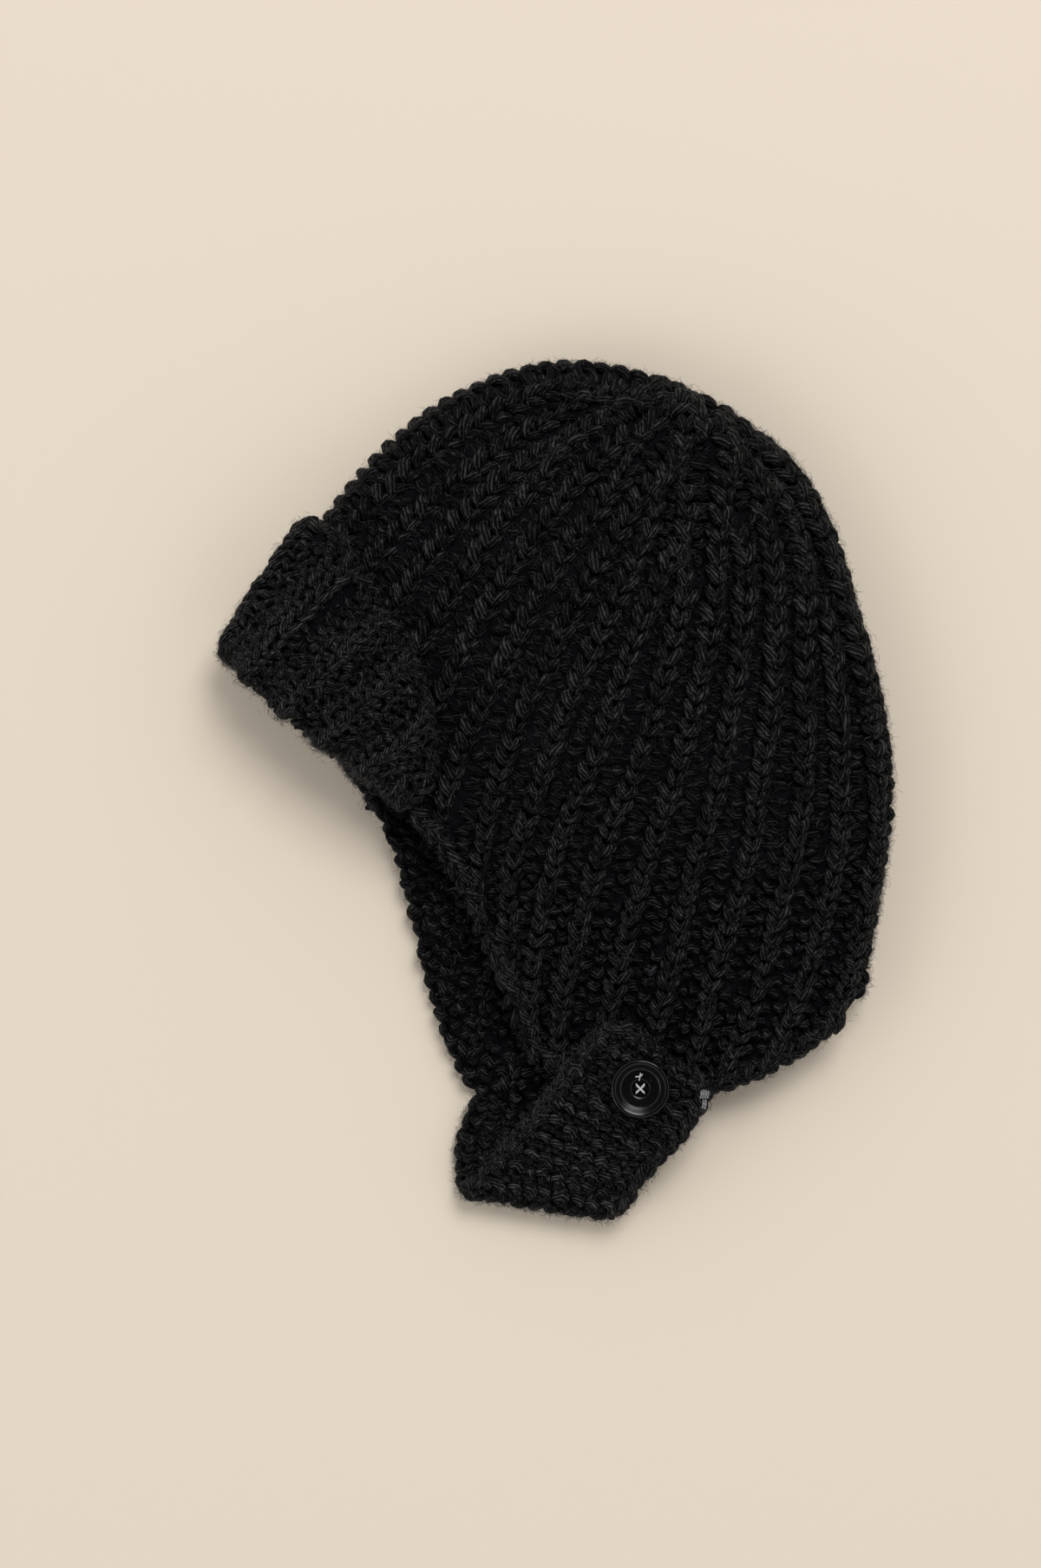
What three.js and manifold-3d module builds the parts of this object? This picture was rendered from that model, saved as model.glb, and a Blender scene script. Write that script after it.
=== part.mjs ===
// Knitted bonnet with a turned-up front cuff, ear flaps and a buttoned chin strap.
// It lies on its side: X runs to the back of the head, Y to the crown, Z up from the surface it lies on.
// Millimetres. The near side faces up, and the far side is pressed flat on the surface.
import * as THREE from 'three';
import { mergeVertices } from 'three/addons/utils/BufferGeometryUtils.js';
import Module from 'manifold-3d';

const wasm = await Module();
wasm.setup();
const { Manifold, Mesh: SolidMesh } = wasm;

// Knit
const RIBS = 33; // ribs round the head
const KNIT = 4.5; // thickness of one layer, from a rib's crest to the inside
const VALLEY = 2.7; // depth between two ribs
const SIDES_PER_RIB = 4;
const GAP = 0.3; // clearance between pieces that touch

// Lying form
const FOLD_HEIGHT = 9; // half the height of the folded edge at the centre front and back
const FOLD_REACH = 12; // width of the rounded edge, seen from above
const PUFF = 20; // how far the near side stands above a flat fold
const FLAP_DROP = 6.5; // how far the near ear flap sinks under its strap

// Rib lines of one side, seen from above: rib 0 is the centre front and 16.5 the centre back.
// Each row follows a rib from the hem to the crown in five equal stretches.
const STRETCHES = [0, 0.2, 0.4, 0.6, 0.8, 1];
const CROWN_TOP = [43, 126];
const RIB_ROWS = [
  { rib: 0, hem: [-99, 46], first: [-78, 79], second: [-56, 107], third: [-27, 128], fourth: [9, 135] },
  { rib: 2, hem: [-86, 31], first: [-64, 61], second: [-43, 86], third: [-18, 106], fourth: [11, 120] },
  { rib: 4, hem: [-68, 13], first: [-45, 41], second: [-28, 68], third: [-9, 92], fourth: [14, 113] },
  { rib: 6, hem: [-37, -16], first: [-28, 15], second: [-14, 44], third: [3, 73], fourth: [23, 100] },
  { rib: 8, hem: [-15, -62], first: [-13, -22], second: [0, 16], third: [15, 52], fourth: [33, 88] },
  { rib: 10, hem: [0, -88], first: [7, -44], second: [21, -3], third: [35, 39], fourth: [43, 82] },
  { rib: 12, hem: [27, -95], first: [37, -51], second: [48, -7], third: [57, 38], fourth: [57, 84] },
  { rib: 14, hem: [52, -93], first: [67, -50], second: [77, -4], third: [78, 42], fourth: [71, 89] },
  { rib: 16, hem: [86, -75], first: [98, -36], second: [101, 9], third: [93, 53], fourth: [76, 95] },
  { rib: 16.5, hem: [98, -66], first: [105, -27], second: [107, 16], third: [96, 60], fourth: [79, 101] },
];

// How far the far side's hem lies from the near side's, where its ear flap shows past the near one.
const FAR_HEM = [
  { rib: 0, x: 0, y: 0 },
  { rib: 4, x: 0, y: 0 },
  { rib: 6, x: -14, y: 1 },
  { rib: 8, x: -24, y: 4 },
  { rib: 9, x: -25, y: 1 },
  { rib: 10, x: -24, y: -7 },
  { rib: 11, x: -20, y: -7.5 },
  { rib: 12, x: -15, y: -9.5 },
  { rib: 14, x: -3, y: -2 },
  { rib: 16.5, x: 0, y: 0 },
];

// Valleys that run out below the crown, where two ribs are knitted into one.
const DECREASES = [
  { valley: 1.5, at: 0.78 },
  { valley: 3.5, at: 0.68 },
  { valley: 6.5, at: 0.8 },
  { valley: 8.5, at: 0.7 },
  { valley: 11.5, at: 0.72 },
  { valley: 13.5, at: 0.74 },
  { valley: 15.5, at: 0.74 },
];

// Front cuff: its own wider folds, each from the rib it leaves at the hem to where its free edge lies.
const CUFF_KNIT = 4.6;
const CUFF_GAP = 0.45; // clearance over the ribs that it lies on
const CUFF_NOSE = 5.4; // how far the turned edge stands below the crown's hem
const CUFF_VALLEY = 1.6;
const CUFF_FOLDS = [
  { fold: 0, hemRib: 0, edgeRib: 0, edge: 0.235 },
  { fold: 0.5, hemRib: 0.35, edgeRib: 0.85, edge: 0.24 },
  { fold: 1.5, hemRib: 1.8, edgeRib: 2.45, edge: 0.215 },
  { fold: 2.5, hemRib: 3.2, edgeRib: 3.55, edge: 0.205 },
  { fold: 3.5, hemRib: 4.2, edgeRib: 4.6, edge: 0.17 },
  { fold: 4.5, hemRib: 5.0, edgeRib: 5.4, edge: 0.11 },
  { fold: 5.2, hemRib: 5.5, edgeRib: 5.65, edge: 0.05 },
];
const CUFF_END = 5.2;
const CUFF_CLEAR = 2.4; // ribs past the cuff over which the far side comes back down

// Chin strap, a garter-stitch band seen from above: its two edges and the height of its middle.
const STRAP_KNIT = 4.8;
const RIDGE_PITCH = 5.4;
const RIDGE = 0.45;
const STRAP_ROWS = [
  { left: [-25.6, -97.4], right: [13.4, -107], bow: 1, z: 2.75 },
  { left: [-28.6, -106], right: [14.5, -115], bow: 1, z: 2.75 },
  { left: [-30.4, -115], right: [15.5, -123.5], bow: 0, z: 2.75 },
  { left: [-30.4, -123.4], right: [16.5, -131.2], bow: 0, z: 3.2 },
  { left: [-29.2, -125.8], right: [18.2, -133.6], bow: 0, z: 5.6 },
  { left: [-26.6, -124.2], right: [20.6, -132.6], bow: 0, z: 8.2 },
  { left: [-20, -117], right: [23.5, -129.5], bow: 0, z: 9 },
  { left: [-10, -106], right: [28, -122.6], bow: 0, z: 10.4 },
  { left: [-0.5, -93.2], right: [34.5, -115.2], bow: 0, z: 13 },
  { left: [6.5, -83.6], right: [41.4, -107.4], bow: 0, z: 14.8 },
  { left: [13.2, -76.2], right: [46.4, -99.6], bow: 0, z: 16 },
  { left: [21, -74.6], right: [46, -93.2], bow: 0, z: 16.4 },
  { left: [28.5, -77.2], right: [41.6, -87.6], bow: 0, z: 16.6 },
];

// Button and thread
// The button's seat is the top of the strap's highest ridge under it.
const BUTTON = {
  x: 26.3, y: -93.7, seat: 18.15, radius: 9.2, rim: 2.6, dish: 1.5, base: 0.9, holeOffset: 1.75, hole: 0.95,
};
const THREAD = 0.42;
const TACK = { x: 46.4, y: -96.2, z: 19.6, length: 3.4, radius: 1.05, apart: 2 };

const COLOURS = { knit: 0x1b1b1c, button: 0x101114, thread: 0xb9bbbf };

function smooth(low, high, value) {
  const u = Math.min(Math.max((value - low) / (high - low), 0), 1);
  return u * u * (3 - 2 * u);
}

// Natural cubic spline through (knots, values), as a function.
function spline(knots, values) {
  const n = knots.length;
  const bend = new Array(n).fill(0);
  const carry = new Array(n).fill(0);
  for (let i = 1; i < n - 1; i++) {
    const left = knots[i] - knots[i - 1];
    const right = knots[i + 1] - knots[i];
    const turn = (values[i + 1] - values[i]) / right - (values[i] - values[i - 1]) / left;
    const pivot = 2 * (left + right) - left * carry[i - 1];
    carry[i] = right / pivot;
    bend[i] = (6 * turn - left * bend[i - 1]) / pivot;
  }
  for (let i = n - 2; i > 0; i--) {
    bend[i] -= carry[i] * bend[i + 1];
  }
  return (x) => {
    let i = 1;
    while (i < n - 1 && x > knots[i]) i++;
    const span = knots[i] - knots[i - 1];
    const a = (knots[i] - x) / span;
    const b = 1 - a;
    const curve = ((a ** 3 - a) * bend[i - 1] + (b ** 3 - b) * bend[i]) * span * span / 6;
    return a * values[i - 1] + b * values[i] + curve;
  };
}

// Column of a table as a spline over another of its columns.
function column(rows, key, read) {
  return spline(rows.map((row) => row[key]), rows.map(read));
}

const ribLines = RIB_ROWS.map((row) => {
  const points = [row.hem, row.first, row.second, row.third, row.fourth, CROWN_TOP];
  return [0, 1].map((axis) => spline(STRETCHES, points.map((point) => point[axis])));
});
const ribKeys = RIB_ROWS.map((row) => row.rib);
const farX = column(FAR_HEM, 'rib', (row) => row.x);
const farY = column(FAR_HEM, 'rib', (row) => row.y);
const cuffHemRib = column(CUFF_FOLDS, 'fold', (row) => row.hemRib);
const cuffEdgeRib = column(CUFF_FOLDS, 'fold', (row) => row.edgeRib);
const cuffEdge = column(CUFF_FOLDS, 'fold', (row) => row.edge);

const ringCache = new Map();
// The two plan coordinates at height t up the ribs, each as a spline over the ribs.
function ring(t) {
  const key = t.toFixed(5);
  if (!ringCache.has(key)) {
    ringCache.set(key, [0, 1].map((axis) => spline(ribKeys, ribLines.map((line) => line[axis](t)))));
  }
  return ringCache.get(key);
}

// Smooth outer surface of the crown at rib s (0 to 33 round the head) and height t from hem to top.
function surface(s, t) {
  const turn = ((s % RIBS) + RIBS) % RIBS;
  const far = turn > RIBS / 2;
  const rib = far ? RIBS - turn : turn;
  const [atX, atY] = ring(t);
  const x = atX(rib);
  const y = atY(rib);
  const front = Math.hypot(x - atX(0), y - atY(0));
  const back = Math.hypot(x - atX(RIBS / 2), y - atY(RIBS / 2));
  const inside = Math.min(front, back, FOLD_REACH) / FOLD_REACH;
  const round = Math.sqrt(1 - (1 - inside) ** 2);
  const raised = CUFF_KNIT + CUFF_GAP + 1;
  const lift = raised * (1 - smooth(CUFF_END - 1, CUFF_END + CUFF_CLEAR, rib)) * (1 - smooth(0.2, 0.46, t));
  const across = Math.sin(Math.PI * Math.min(rib / (RIBS / 2), 1));
  const along = smooth(-0.02, 0.55, t) * (1 - smooth(0.55, 1.1, t) ** 1.5);
  const sunk = FLAP_DROP * Math.exp(-(((rib - 10.8) / 3.6) ** 2)) * (1 - smooth(0.06, 0.42, t));
  const point = new THREE.Vector3(x, y, lift + FOLD_HEIGHT);
  if (far) {
    const ease = (1 - Math.max(t, -0.1)) ** 2.4;
    point.x += farX(rib) * ease;
    point.y += farY(rib) * ease;
    point.z -= FOLD_HEIGHT * round;
  } else {
    point.z += FOLD_HEIGHT * round + PUFF * across ** 1.3 * along - sunk * round;
  }
  return point;
}

function outward(s, t) {
  const ds = surface(s + 0.12, t).sub(surface(s - 0.12, t));
  const dt = surface(s, Math.min(t + 0.01, 0.995)).sub(surface(s, Math.min(t, 0.985) - 0.01));
  return ds.cross(dt).normalize();
}

// Depth below the rib crests: valleys lie between whole ribs, and fade out at the decreases and the top.
function valley(s, t) {
  const turn = ((s % RIBS) + RIBS) % RIBS;
  const far = turn > RIBS / 2;
  const rib = far ? RIBS - turn : turn;
  const shape = (0.5 - 0.5 * Math.cos(2 * Math.PI * turn)) ** 1.5;
  const ended = DECREASES.find((row) => Math.abs(row.valley - rib) < 0.49);
  const fade = ended ? 1 - smooth(ended.at - 0.04, ended.at + 0.06, t) : 1 - smooth(0.86, 0.97, t);
  // The middle of the far side is pressed flat by the weight on it.
  const pressed = far ? 1 - smooth(4.4, 5.4, Math.hypot(rib - 10.5, (t - 0.42) * 17)) : 0;
  return VALLEY * shape * fade * (1 - pressed);
}

// Closed mesh from rings of points that each have the same number of points.
// An end is closed to a centre point, or left for the ring that follows when the solid is a loop of rings.
function solidFromRings(rings, { loop = false, bottom = null, top = null } = {}) {
  const count = rings[0].length;
  const positions = [];
  const faces = [];
  for (const points of rings) {
    for (const point of points) positions.push(point.x, point.y, point.z);
  }
  const last = loop ? rings.length : rings.length - 1;
  for (let r = 0; r < last; r++) {
    for (let i = 0; i < count; i++) {
      const a = r * count + i;
      const b = r * count + (i + 1) % count;
      const next = ((r + 1) % rings.length) * count;
      const c = next + i;
      const d = next + (i + 1) % count;
      faces.push(a, b, d, a, d, c);
    }
  }
  for (const [centre, start, flip] of [[bottom, 0, true], [top, (rings.length - 1) * count, false]]) {
    if (centre) {
      const middle = positions.length / 3;
      positions.push(centre.x, centre.y, centre.z);
      for (let i = 0; i < count; i++) {
        const a = start + i;
        const b = start + (i + 1) % count;
        if (flip) faces.push(b, a, middle);
        else faces.push(a, b, middle);
      }
    }
  }
  const geometry = new THREE.BufferGeometry();
  geometry.setAttribute('position', new THREE.Float32BufferAttribute(positions, 3));
  geometry.setIndex(faces);
  return outwardFaces(geometry);
}

// Turns every face the other way when the mesh encloses a negative volume.
function outwardFaces(geometry) {
  const p = geometry.attributes.position;
  const index = geometry.index.array;
  const [a, b, c] = [new THREE.Vector3(), new THREE.Vector3(), new THREE.Vector3()];
  let volume = 0;
  for (let i = 0; i < index.length; i += 3) {
    a.fromBufferAttribute(p, index[i]);
    b.fromBufferAttribute(p, index[i + 1]);
    c.fromBufferAttribute(p, index[i + 2]);
    volume += a.dot(b.cross(c));
  }
  if (volume < 0) {
    for (let i = 0; i < index.length; i += 3) {
      [index[i + 1], index[i + 2]] = [index[i + 2], index[i + 1]];
    }
  }
  geometry.computeVertexNormals();
  return geometry;
}

function centreOf(points) {
  const sum = new THREE.Vector3();
  for (const point of points) sum.add(point);
  return sum.divideScalar(points.length);
}

function toSolid(geometry) {
  const bare = geometry.clone();
  bare.deleteAttribute('normal');
  bare.deleteAttribute('uv');
  const merged = mergeVertices(bare, 1e-4);
  const mesh = new SolidMesh({
    numProp: 3,
    vertProperties: merged.attributes.position.array,
    triVerts: Uint32Array.from(merged.index.array),
  });
  return new Manifold(mesh);
}

function toGeometry(solid) {
  const mesh = solid.getMesh();
  const geometry = new THREE.BufferGeometry();
  geometry.setAttribute('position', new THREE.BufferAttribute(Float32Array.from(mesh.vertProperties), 3));
  geometry.setIndex(Array.from(mesh.triVerts));
  geometry.computeVertexNormals();
  return geometry;
}

function piece(name, geometry, colour, roughness) {
  const material = new THREE.MeshStandardMaterial({ color: colour, roughness, metalness: 0 });
  const mesh = new THREE.Mesh(geometry, material);
  mesh.name = name;
  return mesh;
}

// Crown with both ear flaps: a ribbed outer skin and a smooth inner one, joined by a rounded hem.
function crown() {
  const columns = RIBS * SIDES_PER_RIB;
  const place = (i, t, depth, extra = 0) => {
    const s = i / SIDES_PER_RIB;
    const point = surface(s, t).addScaledVector(outward(s, t), -depth);
    if (extra) {
      const away = surface(s, 0).sub(surface(s, 0.02)).normalize();
      point.addScaledVector(away, extra);
    }
    return point;
  };
  const outerHeights = [0.96, 0.91, 0.86, 0.81, 0.76, 0.7, 0.64, 0.57, 0.5, 0.42, 0.34, 0.27, 0.2, 0.14, 0.08, 0.03, 0];
  const innerHeights = [0, 0.1, 0.25, 0.4, 0.56, 0.7, 0.82, 0.9];
  const around = Array.from({ length: columns }, (_, i) => i);
  const rings = outerHeights.map((t) => around.map((i) => place(i, t, valley(i / SIDES_PER_RIB, t))));
  rings.push(around.map((i) => place(i, 0, Math.max(1.2, valley(i / SIDES_PER_RIB, 0) + 0.4), 1.1)));
  rings.push(around.map((i) => place(i, 0, KNIT - 1, 1.1)));
  for (const t of innerHeights) rings.push(around.map((i) => place(i, t, KNIT)));
  const tip = surface(0, 1);
  const innerTip = centreOf(rings[rings.length - 1]);
  return solidFromRings(rings, { bottom: tip, top: innerTip });
}

// Cuff: the brow's knit turned over at the hem and laid back up over the crown, tapering out at the temples.
function frontCuff() {
  const steps = 12;
  const stations = [];
  const count = Math.round(CUFF_END * 2 * 4);
  for (let i = 0; i <= count; i++) stations.push(-CUFF_END + (2 * CUFF_END * i) / count);
  const rings = stations.map((fold) => {
    const side = fold < 0 ? -1 : 1;
    const f = Math.abs(fold);
    const taper = 1 - 0.55 * smooth(CUFF_END - 1.2, CUFF_END, f);
    const thick = CUFF_KNIT * taper;
    const at = (u) => {
      const t = cuffEdge(f) * u;
      const s = side * (cuffHemRib(f) + (cuffEdgeRib(f) - cuffHemRib(f)) * u);
      return { base: surface(s, t), normal: outward(s, t) };
    };
    const hem = at(0);
    const away = hem.base.clone().sub(at(0.12).base).normalize();
    const groove = CUFF_VALLEY * (0.5 - 0.5 * Math.cos(2 * Math.PI * f)) ** 2 * taper;
    const section = [];
    // Up the outside of the crown, from the hem to the free edge.
    for (const u of [0, 0.33, 0.66, 1]) {
      const { base, normal } = at(u);
      section.push(base.clone().addScaledVector(normal, CUFF_GAP));
    }
    const free = at(1);
    const rise = free.base.clone().sub(at(0.9).base).normalize();
    section.push(free.base.clone().addScaledVector(free.normal, CUFF_GAP + thick * 0.35).addScaledVector(rise, 1));
    section.push(free.base.clone().addScaledVector(free.normal, CUFF_GAP + thick * 0.75).addScaledVector(rise, 0.7));
    for (const u of [0.94, 0.7, 0.45, 0.2]) {
      const { base, normal } = at(u);
      section.push(base.clone().addScaledVector(normal, CUFF_GAP + thick - groove));
    }
    // Round the turned edge to the inside of the brow.
    const nose = CUFF_NOSE * (1 - smooth(0.3, CUFF_END, f));
    for (let k = 0; k <= steps / 2; k++) {
      const angle = (Math.PI * k) / (steps / 2);
      const middle = (thick - KNIT) / 2 + CUFF_GAP / 2;
      const half = (thick + KNIT) / 2 + CUFF_GAP / 2;
      const depth = middle + half * Math.cos(angle) - groove * 0.5 * (1 + Math.cos(angle));
      section.push(
        hem.base.clone()
          .addScaledVector(hem.normal, depth)
          .addScaledVector(away, 1.1 + CUFF_GAP + nose * Math.sin(angle)),
      );
    }
    section.push(hem.base.clone().addScaledVector(hem.normal, -KNIT * 0.5).addScaledVector(away, 1.1 + CUFF_GAP));
    section.push(hem.base.clone().addScaledVector(hem.normal, CUFF_GAP).addScaledVector(away, 1.1 + CUFF_GAP));
    return section;
  });
  return solidFromRings(rings, { bottom: centreOf(rings[0]), top: centreOf(rings[rings.length - 1]) });
}

const strapLength = STRAP_ROWS.reduce((lengths, row, i) => {
  if (i === 0) return [0];
  const before = STRAP_ROWS[i - 1];
  const dx = (row.left[0] + row.right[0] - before.left[0] - before.right[0]) / 2;
  const dy = (row.left[1] + row.right[1] - before.left[1] - before.right[1]) / 2;
  return [...lengths, lengths[i - 1] + Math.hypot(dx, dy, row.z - before.z)];
}, []);

// Strap: one band from the far ear flap, turned back at the chin and laid over the near ear flap.
function chinStrap() {
  const read = (pick) => spline(strapLength, STRAP_ROWS.map(pick));
  const leftX = read((row) => row.left[0]);
  const leftY = read((row) => row.left[1]);
  const rightX = read((row) => row.right[0]);
  const rightY = read((row) => row.right[1]);
  const height = read((row) => row.z);
  const bow = read((row) => row.bow);
  const edge = (x, y, d) => new THREE.Vector3(x(d), y(d), height(d));
  const total = strapLength[strapLength.length - 1];
  const count = Math.round((total / RIDGE_PITCH) * 3);
  const rings = [];
  for (let i = 0; i <= count; i++) {
    const d = (total * i) / count;
    const left = edge(leftX, leftY, d);
    const right = edge(rightX, rightY, d);
    const middle = left.clone().add(right).multiplyScalar(0.5);
    const d0 = Math.max(d - 0.6, 0);
    const d1 = Math.min(d + 0.6, total);
    const along = edge(leftX, leftY, d1).add(edge(rightX, rightY, d1));
    along.sub(edge(leftX, leftY, d0)).sub(edge(rightX, rightY, d0)).normalize();
    const across = right.clone().sub(left);
    const width = across.length();
    across.normalize();
    const up = across.clone().cross(along).normalize();
    const ridge = RIDGE * Math.cos((2 * Math.PI * d) / RIDGE_PITCH);
    const half = STRAP_KNIT / 2 - RIDGE + ridge;
    const section = [];
    for (const [w, h] of [[-0.5, 0], [-0.475, 0.8], [-0.42, 1], [-0.2, 1], [0, 1], [0.2, 1], [0.42, 1], [0.475, 0.8],
      [0.5, 0], [0.475, -0.8], [0.42, -1], [0, -1], [-0.42, -1], [-0.475, -0.8]]) {
      const point = middle.clone().addScaledVector(across, w * width).addScaledVector(up, h * half);
      section.push(point.addScaledVector(along, bow(d) * (1 - 4 * w * w)));
    }
    rings.push(section);
  }
  const middleOf = (ring) => ring[4].clone().add(ring[11]).multiplyScalar(0.5);
  return solidFromRings(rings, { bottom: middleOf(rings[0]), top: middleOf(rings[rings.length - 1]) });
}

const buttonBase = BUTTON.seat + GAP;

// Button: a turned disc with a raised rim, a dished face and four holes.
function button() {
  const { radius, rim, dish, base } = BUTTON;
  const profile = [
    [0, 0], [radius * 0.72, 0], [radius * 0.95, 0.5], [radius, 1.3], [radius * 0.985, rim - 0.45],
    [radius * 0.94, rim - 0.08], [radius * 0.88, rim], [radius * 0.8, rim - 0.18], [radius * 0.72, rim - 0.7],
    [radius * 0.62, dish + 0.12], [radius * 0.5, dish], [0, base + 0.35], [0, 0],
  ].map(([r, z]) => new THREE.Vector2(r, z));
  const disc = new THREE.LatheGeometry(profile, 32);
  disc.rotateX(Math.PI / 2);
  let solid = toSolid(outwardFaces(mergeVertices(bareCopy(disc), 1e-4)));
  for (let i = 0; i < 4; i++) {
    const angle = Math.PI / 4 + (i * Math.PI) / 2;
    const hole = new THREE.CylinderGeometry(BUTTON.hole, BUTTON.hole, 6, 10);
    hole.rotateX(Math.PI / 2);
    hole.translate(BUTTON.holeOffset * Math.cos(angle), BUTTON.holeOffset * Math.sin(angle), 1);
    solid = solid.subtract(toSolid(hole));
  }
  return toGeometry(solid);
}

function bareCopy(geometry) {
  const bare = geometry.clone();
  bare.deleteAttribute('normal');
  bare.deleteAttribute('uv');
  return bare;
}

function threadTube(points, radius, steps) {
  const circle = new THREE.Shape();
  circle.absarc(0, 0, radius, 0, Math.PI * 2);
  const path = new THREE.CatmullRomCurve3(points, false, 'centripetal');
  return new THREE.ExtrudeGeometry(circle, { steps, extrudePath: path, bevelEnabled: false, curveSegments: 3 });
}

// Sewing thread: two strands crossed over the button's face and down through its four holes.
function buttonThread() {
  const reach = BUTTON.holeOffset * Math.SQRT1_2;
  const low = 0.15;
  const strand = (turn, height) => {
    const [c, s] = turn > 0 ? [reach, reach] : [reach, -reach];
    const points = [
      [-c, -s, low], [-c, -s, 1.2], [-c * 0.72, -s * 0.72, height], [0, 0, height + 0.12],
      [c * 0.72, s * 0.72, height], [c, s, 1.2], [c, s, low],
    ].map((p) => new THREE.Vector3(...p));
    return toSolid(threadTube(points, THREAD, 14));
  };
  return toGeometry(strand(1, 1.75).add(strand(-1, 2.1)));
}

// Two short stitches of the same thread on the strap's edge, where it meets the neck.
function threadTack() {
  const bar = (side) => {
    const points = [[0.06, -0.5, 0], [0, -0.2, 0.35], [0, 0.2, 0.35], [-0.06, 0.5, 0]].map(([u, v, w]) => {
      const x = side * TACK.apart * 0.5 + u * TACK.length;
      const y = side * 0.4 + v * TACK.length;
      return new THREE.Vector3(x, y, w);
    });
    return toSolid(threadTube(points, TACK.radius, 6));
  };
  return toGeometry(bar(-1).add(bar(1)));
}

const group = new THREE.Group();
group.add(piece('crown', crown(), COLOURS.knit, 0.95));
group.add(piece('front_cuff', frontCuff(), COLOURS.knit, 0.95));
group.add(piece('chin_strap', chinStrap(), COLOURS.knit, 0.95));

const buttonMesh = piece('button', button(), COLOURS.button, 0.2);
buttonMesh.position.set(BUTTON.x, BUTTON.y, buttonBase);
group.add(buttonMesh);

const threadMesh = piece('button_thread', buttonThread(), COLOURS.thread, 0.8);
threadMesh.position.set(BUTTON.x, BUTTON.y, buttonBase);
group.add(threadMesh);

const tackMesh = piece('thread_tack', threadTack(), COLOURS.thread, 0.8);
tackMesh.position.set(TACK.x, TACK.y, TACK.z);
group.add(tackMesh);

export default group;
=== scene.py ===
"""A knitted bonnet with a turned-up brow cuff, ear flaps and a buttoned chin strap, lying on its side."""
import math

import bmesh
import bpy
import numpy as np
from mathutils import Matrix, Vector


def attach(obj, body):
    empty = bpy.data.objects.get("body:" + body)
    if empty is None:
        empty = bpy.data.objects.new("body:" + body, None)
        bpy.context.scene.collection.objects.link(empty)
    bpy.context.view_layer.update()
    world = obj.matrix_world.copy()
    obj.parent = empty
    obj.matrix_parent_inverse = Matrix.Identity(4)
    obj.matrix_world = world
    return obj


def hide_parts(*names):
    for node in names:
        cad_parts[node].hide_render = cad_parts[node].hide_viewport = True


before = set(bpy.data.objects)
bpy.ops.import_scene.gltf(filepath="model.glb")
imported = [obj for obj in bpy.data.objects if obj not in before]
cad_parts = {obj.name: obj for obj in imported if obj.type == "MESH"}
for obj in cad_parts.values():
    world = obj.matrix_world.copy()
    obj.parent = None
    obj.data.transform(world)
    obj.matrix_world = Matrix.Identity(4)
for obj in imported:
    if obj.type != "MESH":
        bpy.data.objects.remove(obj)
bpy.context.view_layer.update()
MM = 0.001  # sizes below are in millimetres, unless they say metres

# Ground, light and camera
# The bonnet lies on a sheet of warm pale paper under a large soft window light from the upper right.
# The camera looks straight down from a little over a metre, as the photograph was taken.
PAPER_TONE = (0.79, 0.685, 0.56, 1)
PAPER_HALF = 2.5  # metres
WINDOW = dict(at=(0.83, 1.96, 2.76), size=1.7, watts=67.0)  # metres
WALL = dict(at=(-2.3, -1.0, 1.2), size=1.8, watts=14.0)  # a pale wall that sends some of it back
CAMERA_AT = (-11.06, 1.37, 1215.6)


def new_material(name):
    """A node material, its nodes and its Principled shader."""
    material = bpy.data.materials.new(name)
    material.use_nodes = True
    return material, material.node_tree, material.node_tree.nodes["Principled BSDF"]


def add_node(tree, kind, **settings):
    node = tree.nodes.new(kind)
    for key, value in settings.items():
        setattr(node, key, value)
    return node


def feed(tree, node, **inputs):
    """Sets inputs by name, or by number as n0, n1 and so on. A socket is linked, and another value is set."""
    for key, value in inputs.items():
        numbered = key[0] == "n" and key[1:].isdigit()
        socket = node.inputs[int(key[1:]) if numbered else key.replace("_", " ")]
        if isinstance(value, bpy.types.NodeSocket):
            tree.links.new(value, socket)
        else:
            socket.default_value = value
    return node


def maths(tree, operation, first, second=0.0, clamp=False):
    node = add_node(tree, "ShaderNodeMath", operation=operation, use_clamp=clamp)
    return feed(tree, node, n0=first, n1=second).outputs[0]


def noise(tree, place, scale, detail, roughness=0.5):
    node = add_node(tree, "ShaderNodeTexNoise")
    return feed(tree, node, Vector=place, Scale=scale, Detail=detail, Roughness=roughness).outputs[0]


def relief(tree, height, depth, strength=1.0):
    """A bump, its depth in metres."""
    bump = add_node(tree, "ShaderNodeBump")
    return feed(tree, bump, Strength=strength, Distance=depth, Height=height).outputs[0]


def split(tree, place):
    """The x, y and z of a place."""
    return feed(tree, add_node(tree, "ShaderNodeSeparateXYZ"), Vector=place).outputs


def mesh_of(bm, name, material=None):
    """The finished mesh of a bmesh."""
    mesh = bpy.data.meshes.new(name)
    bm.to_mesh(mesh)
    bm.free()
    if material:
        mesh.materials.append(material)
    return mesh


def set_in_scene(name, data):
    piece = bpy.data.objects.new(name, data)
    bpy.context.scene.collection.objects.link(piece)
    return piece


paper, paper_nodes, paper_shader = new_material("warm pale paper")
paper_place = add_node(paper_nodes, "ShaderNodeTexCoord").outputs["Object"]
paper_grain = relief(paper_nodes, noise(paper_nodes, paper_place, 420.0, 4.0), 0.0002, 0.05)
feed(paper_nodes, paper_shader, Base_Color=PAPER_TONE, Roughness=0.85, Normal=paper_grain)
ground_bm = bmesh.new()
bmesh.ops.create_grid(ground_bm, x_segments=1, y_segments=1, size=PAPER_HALF)
ground = set_in_scene("paper_ground", mesh_of(ground_bm, "paper_ground", paper))

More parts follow.
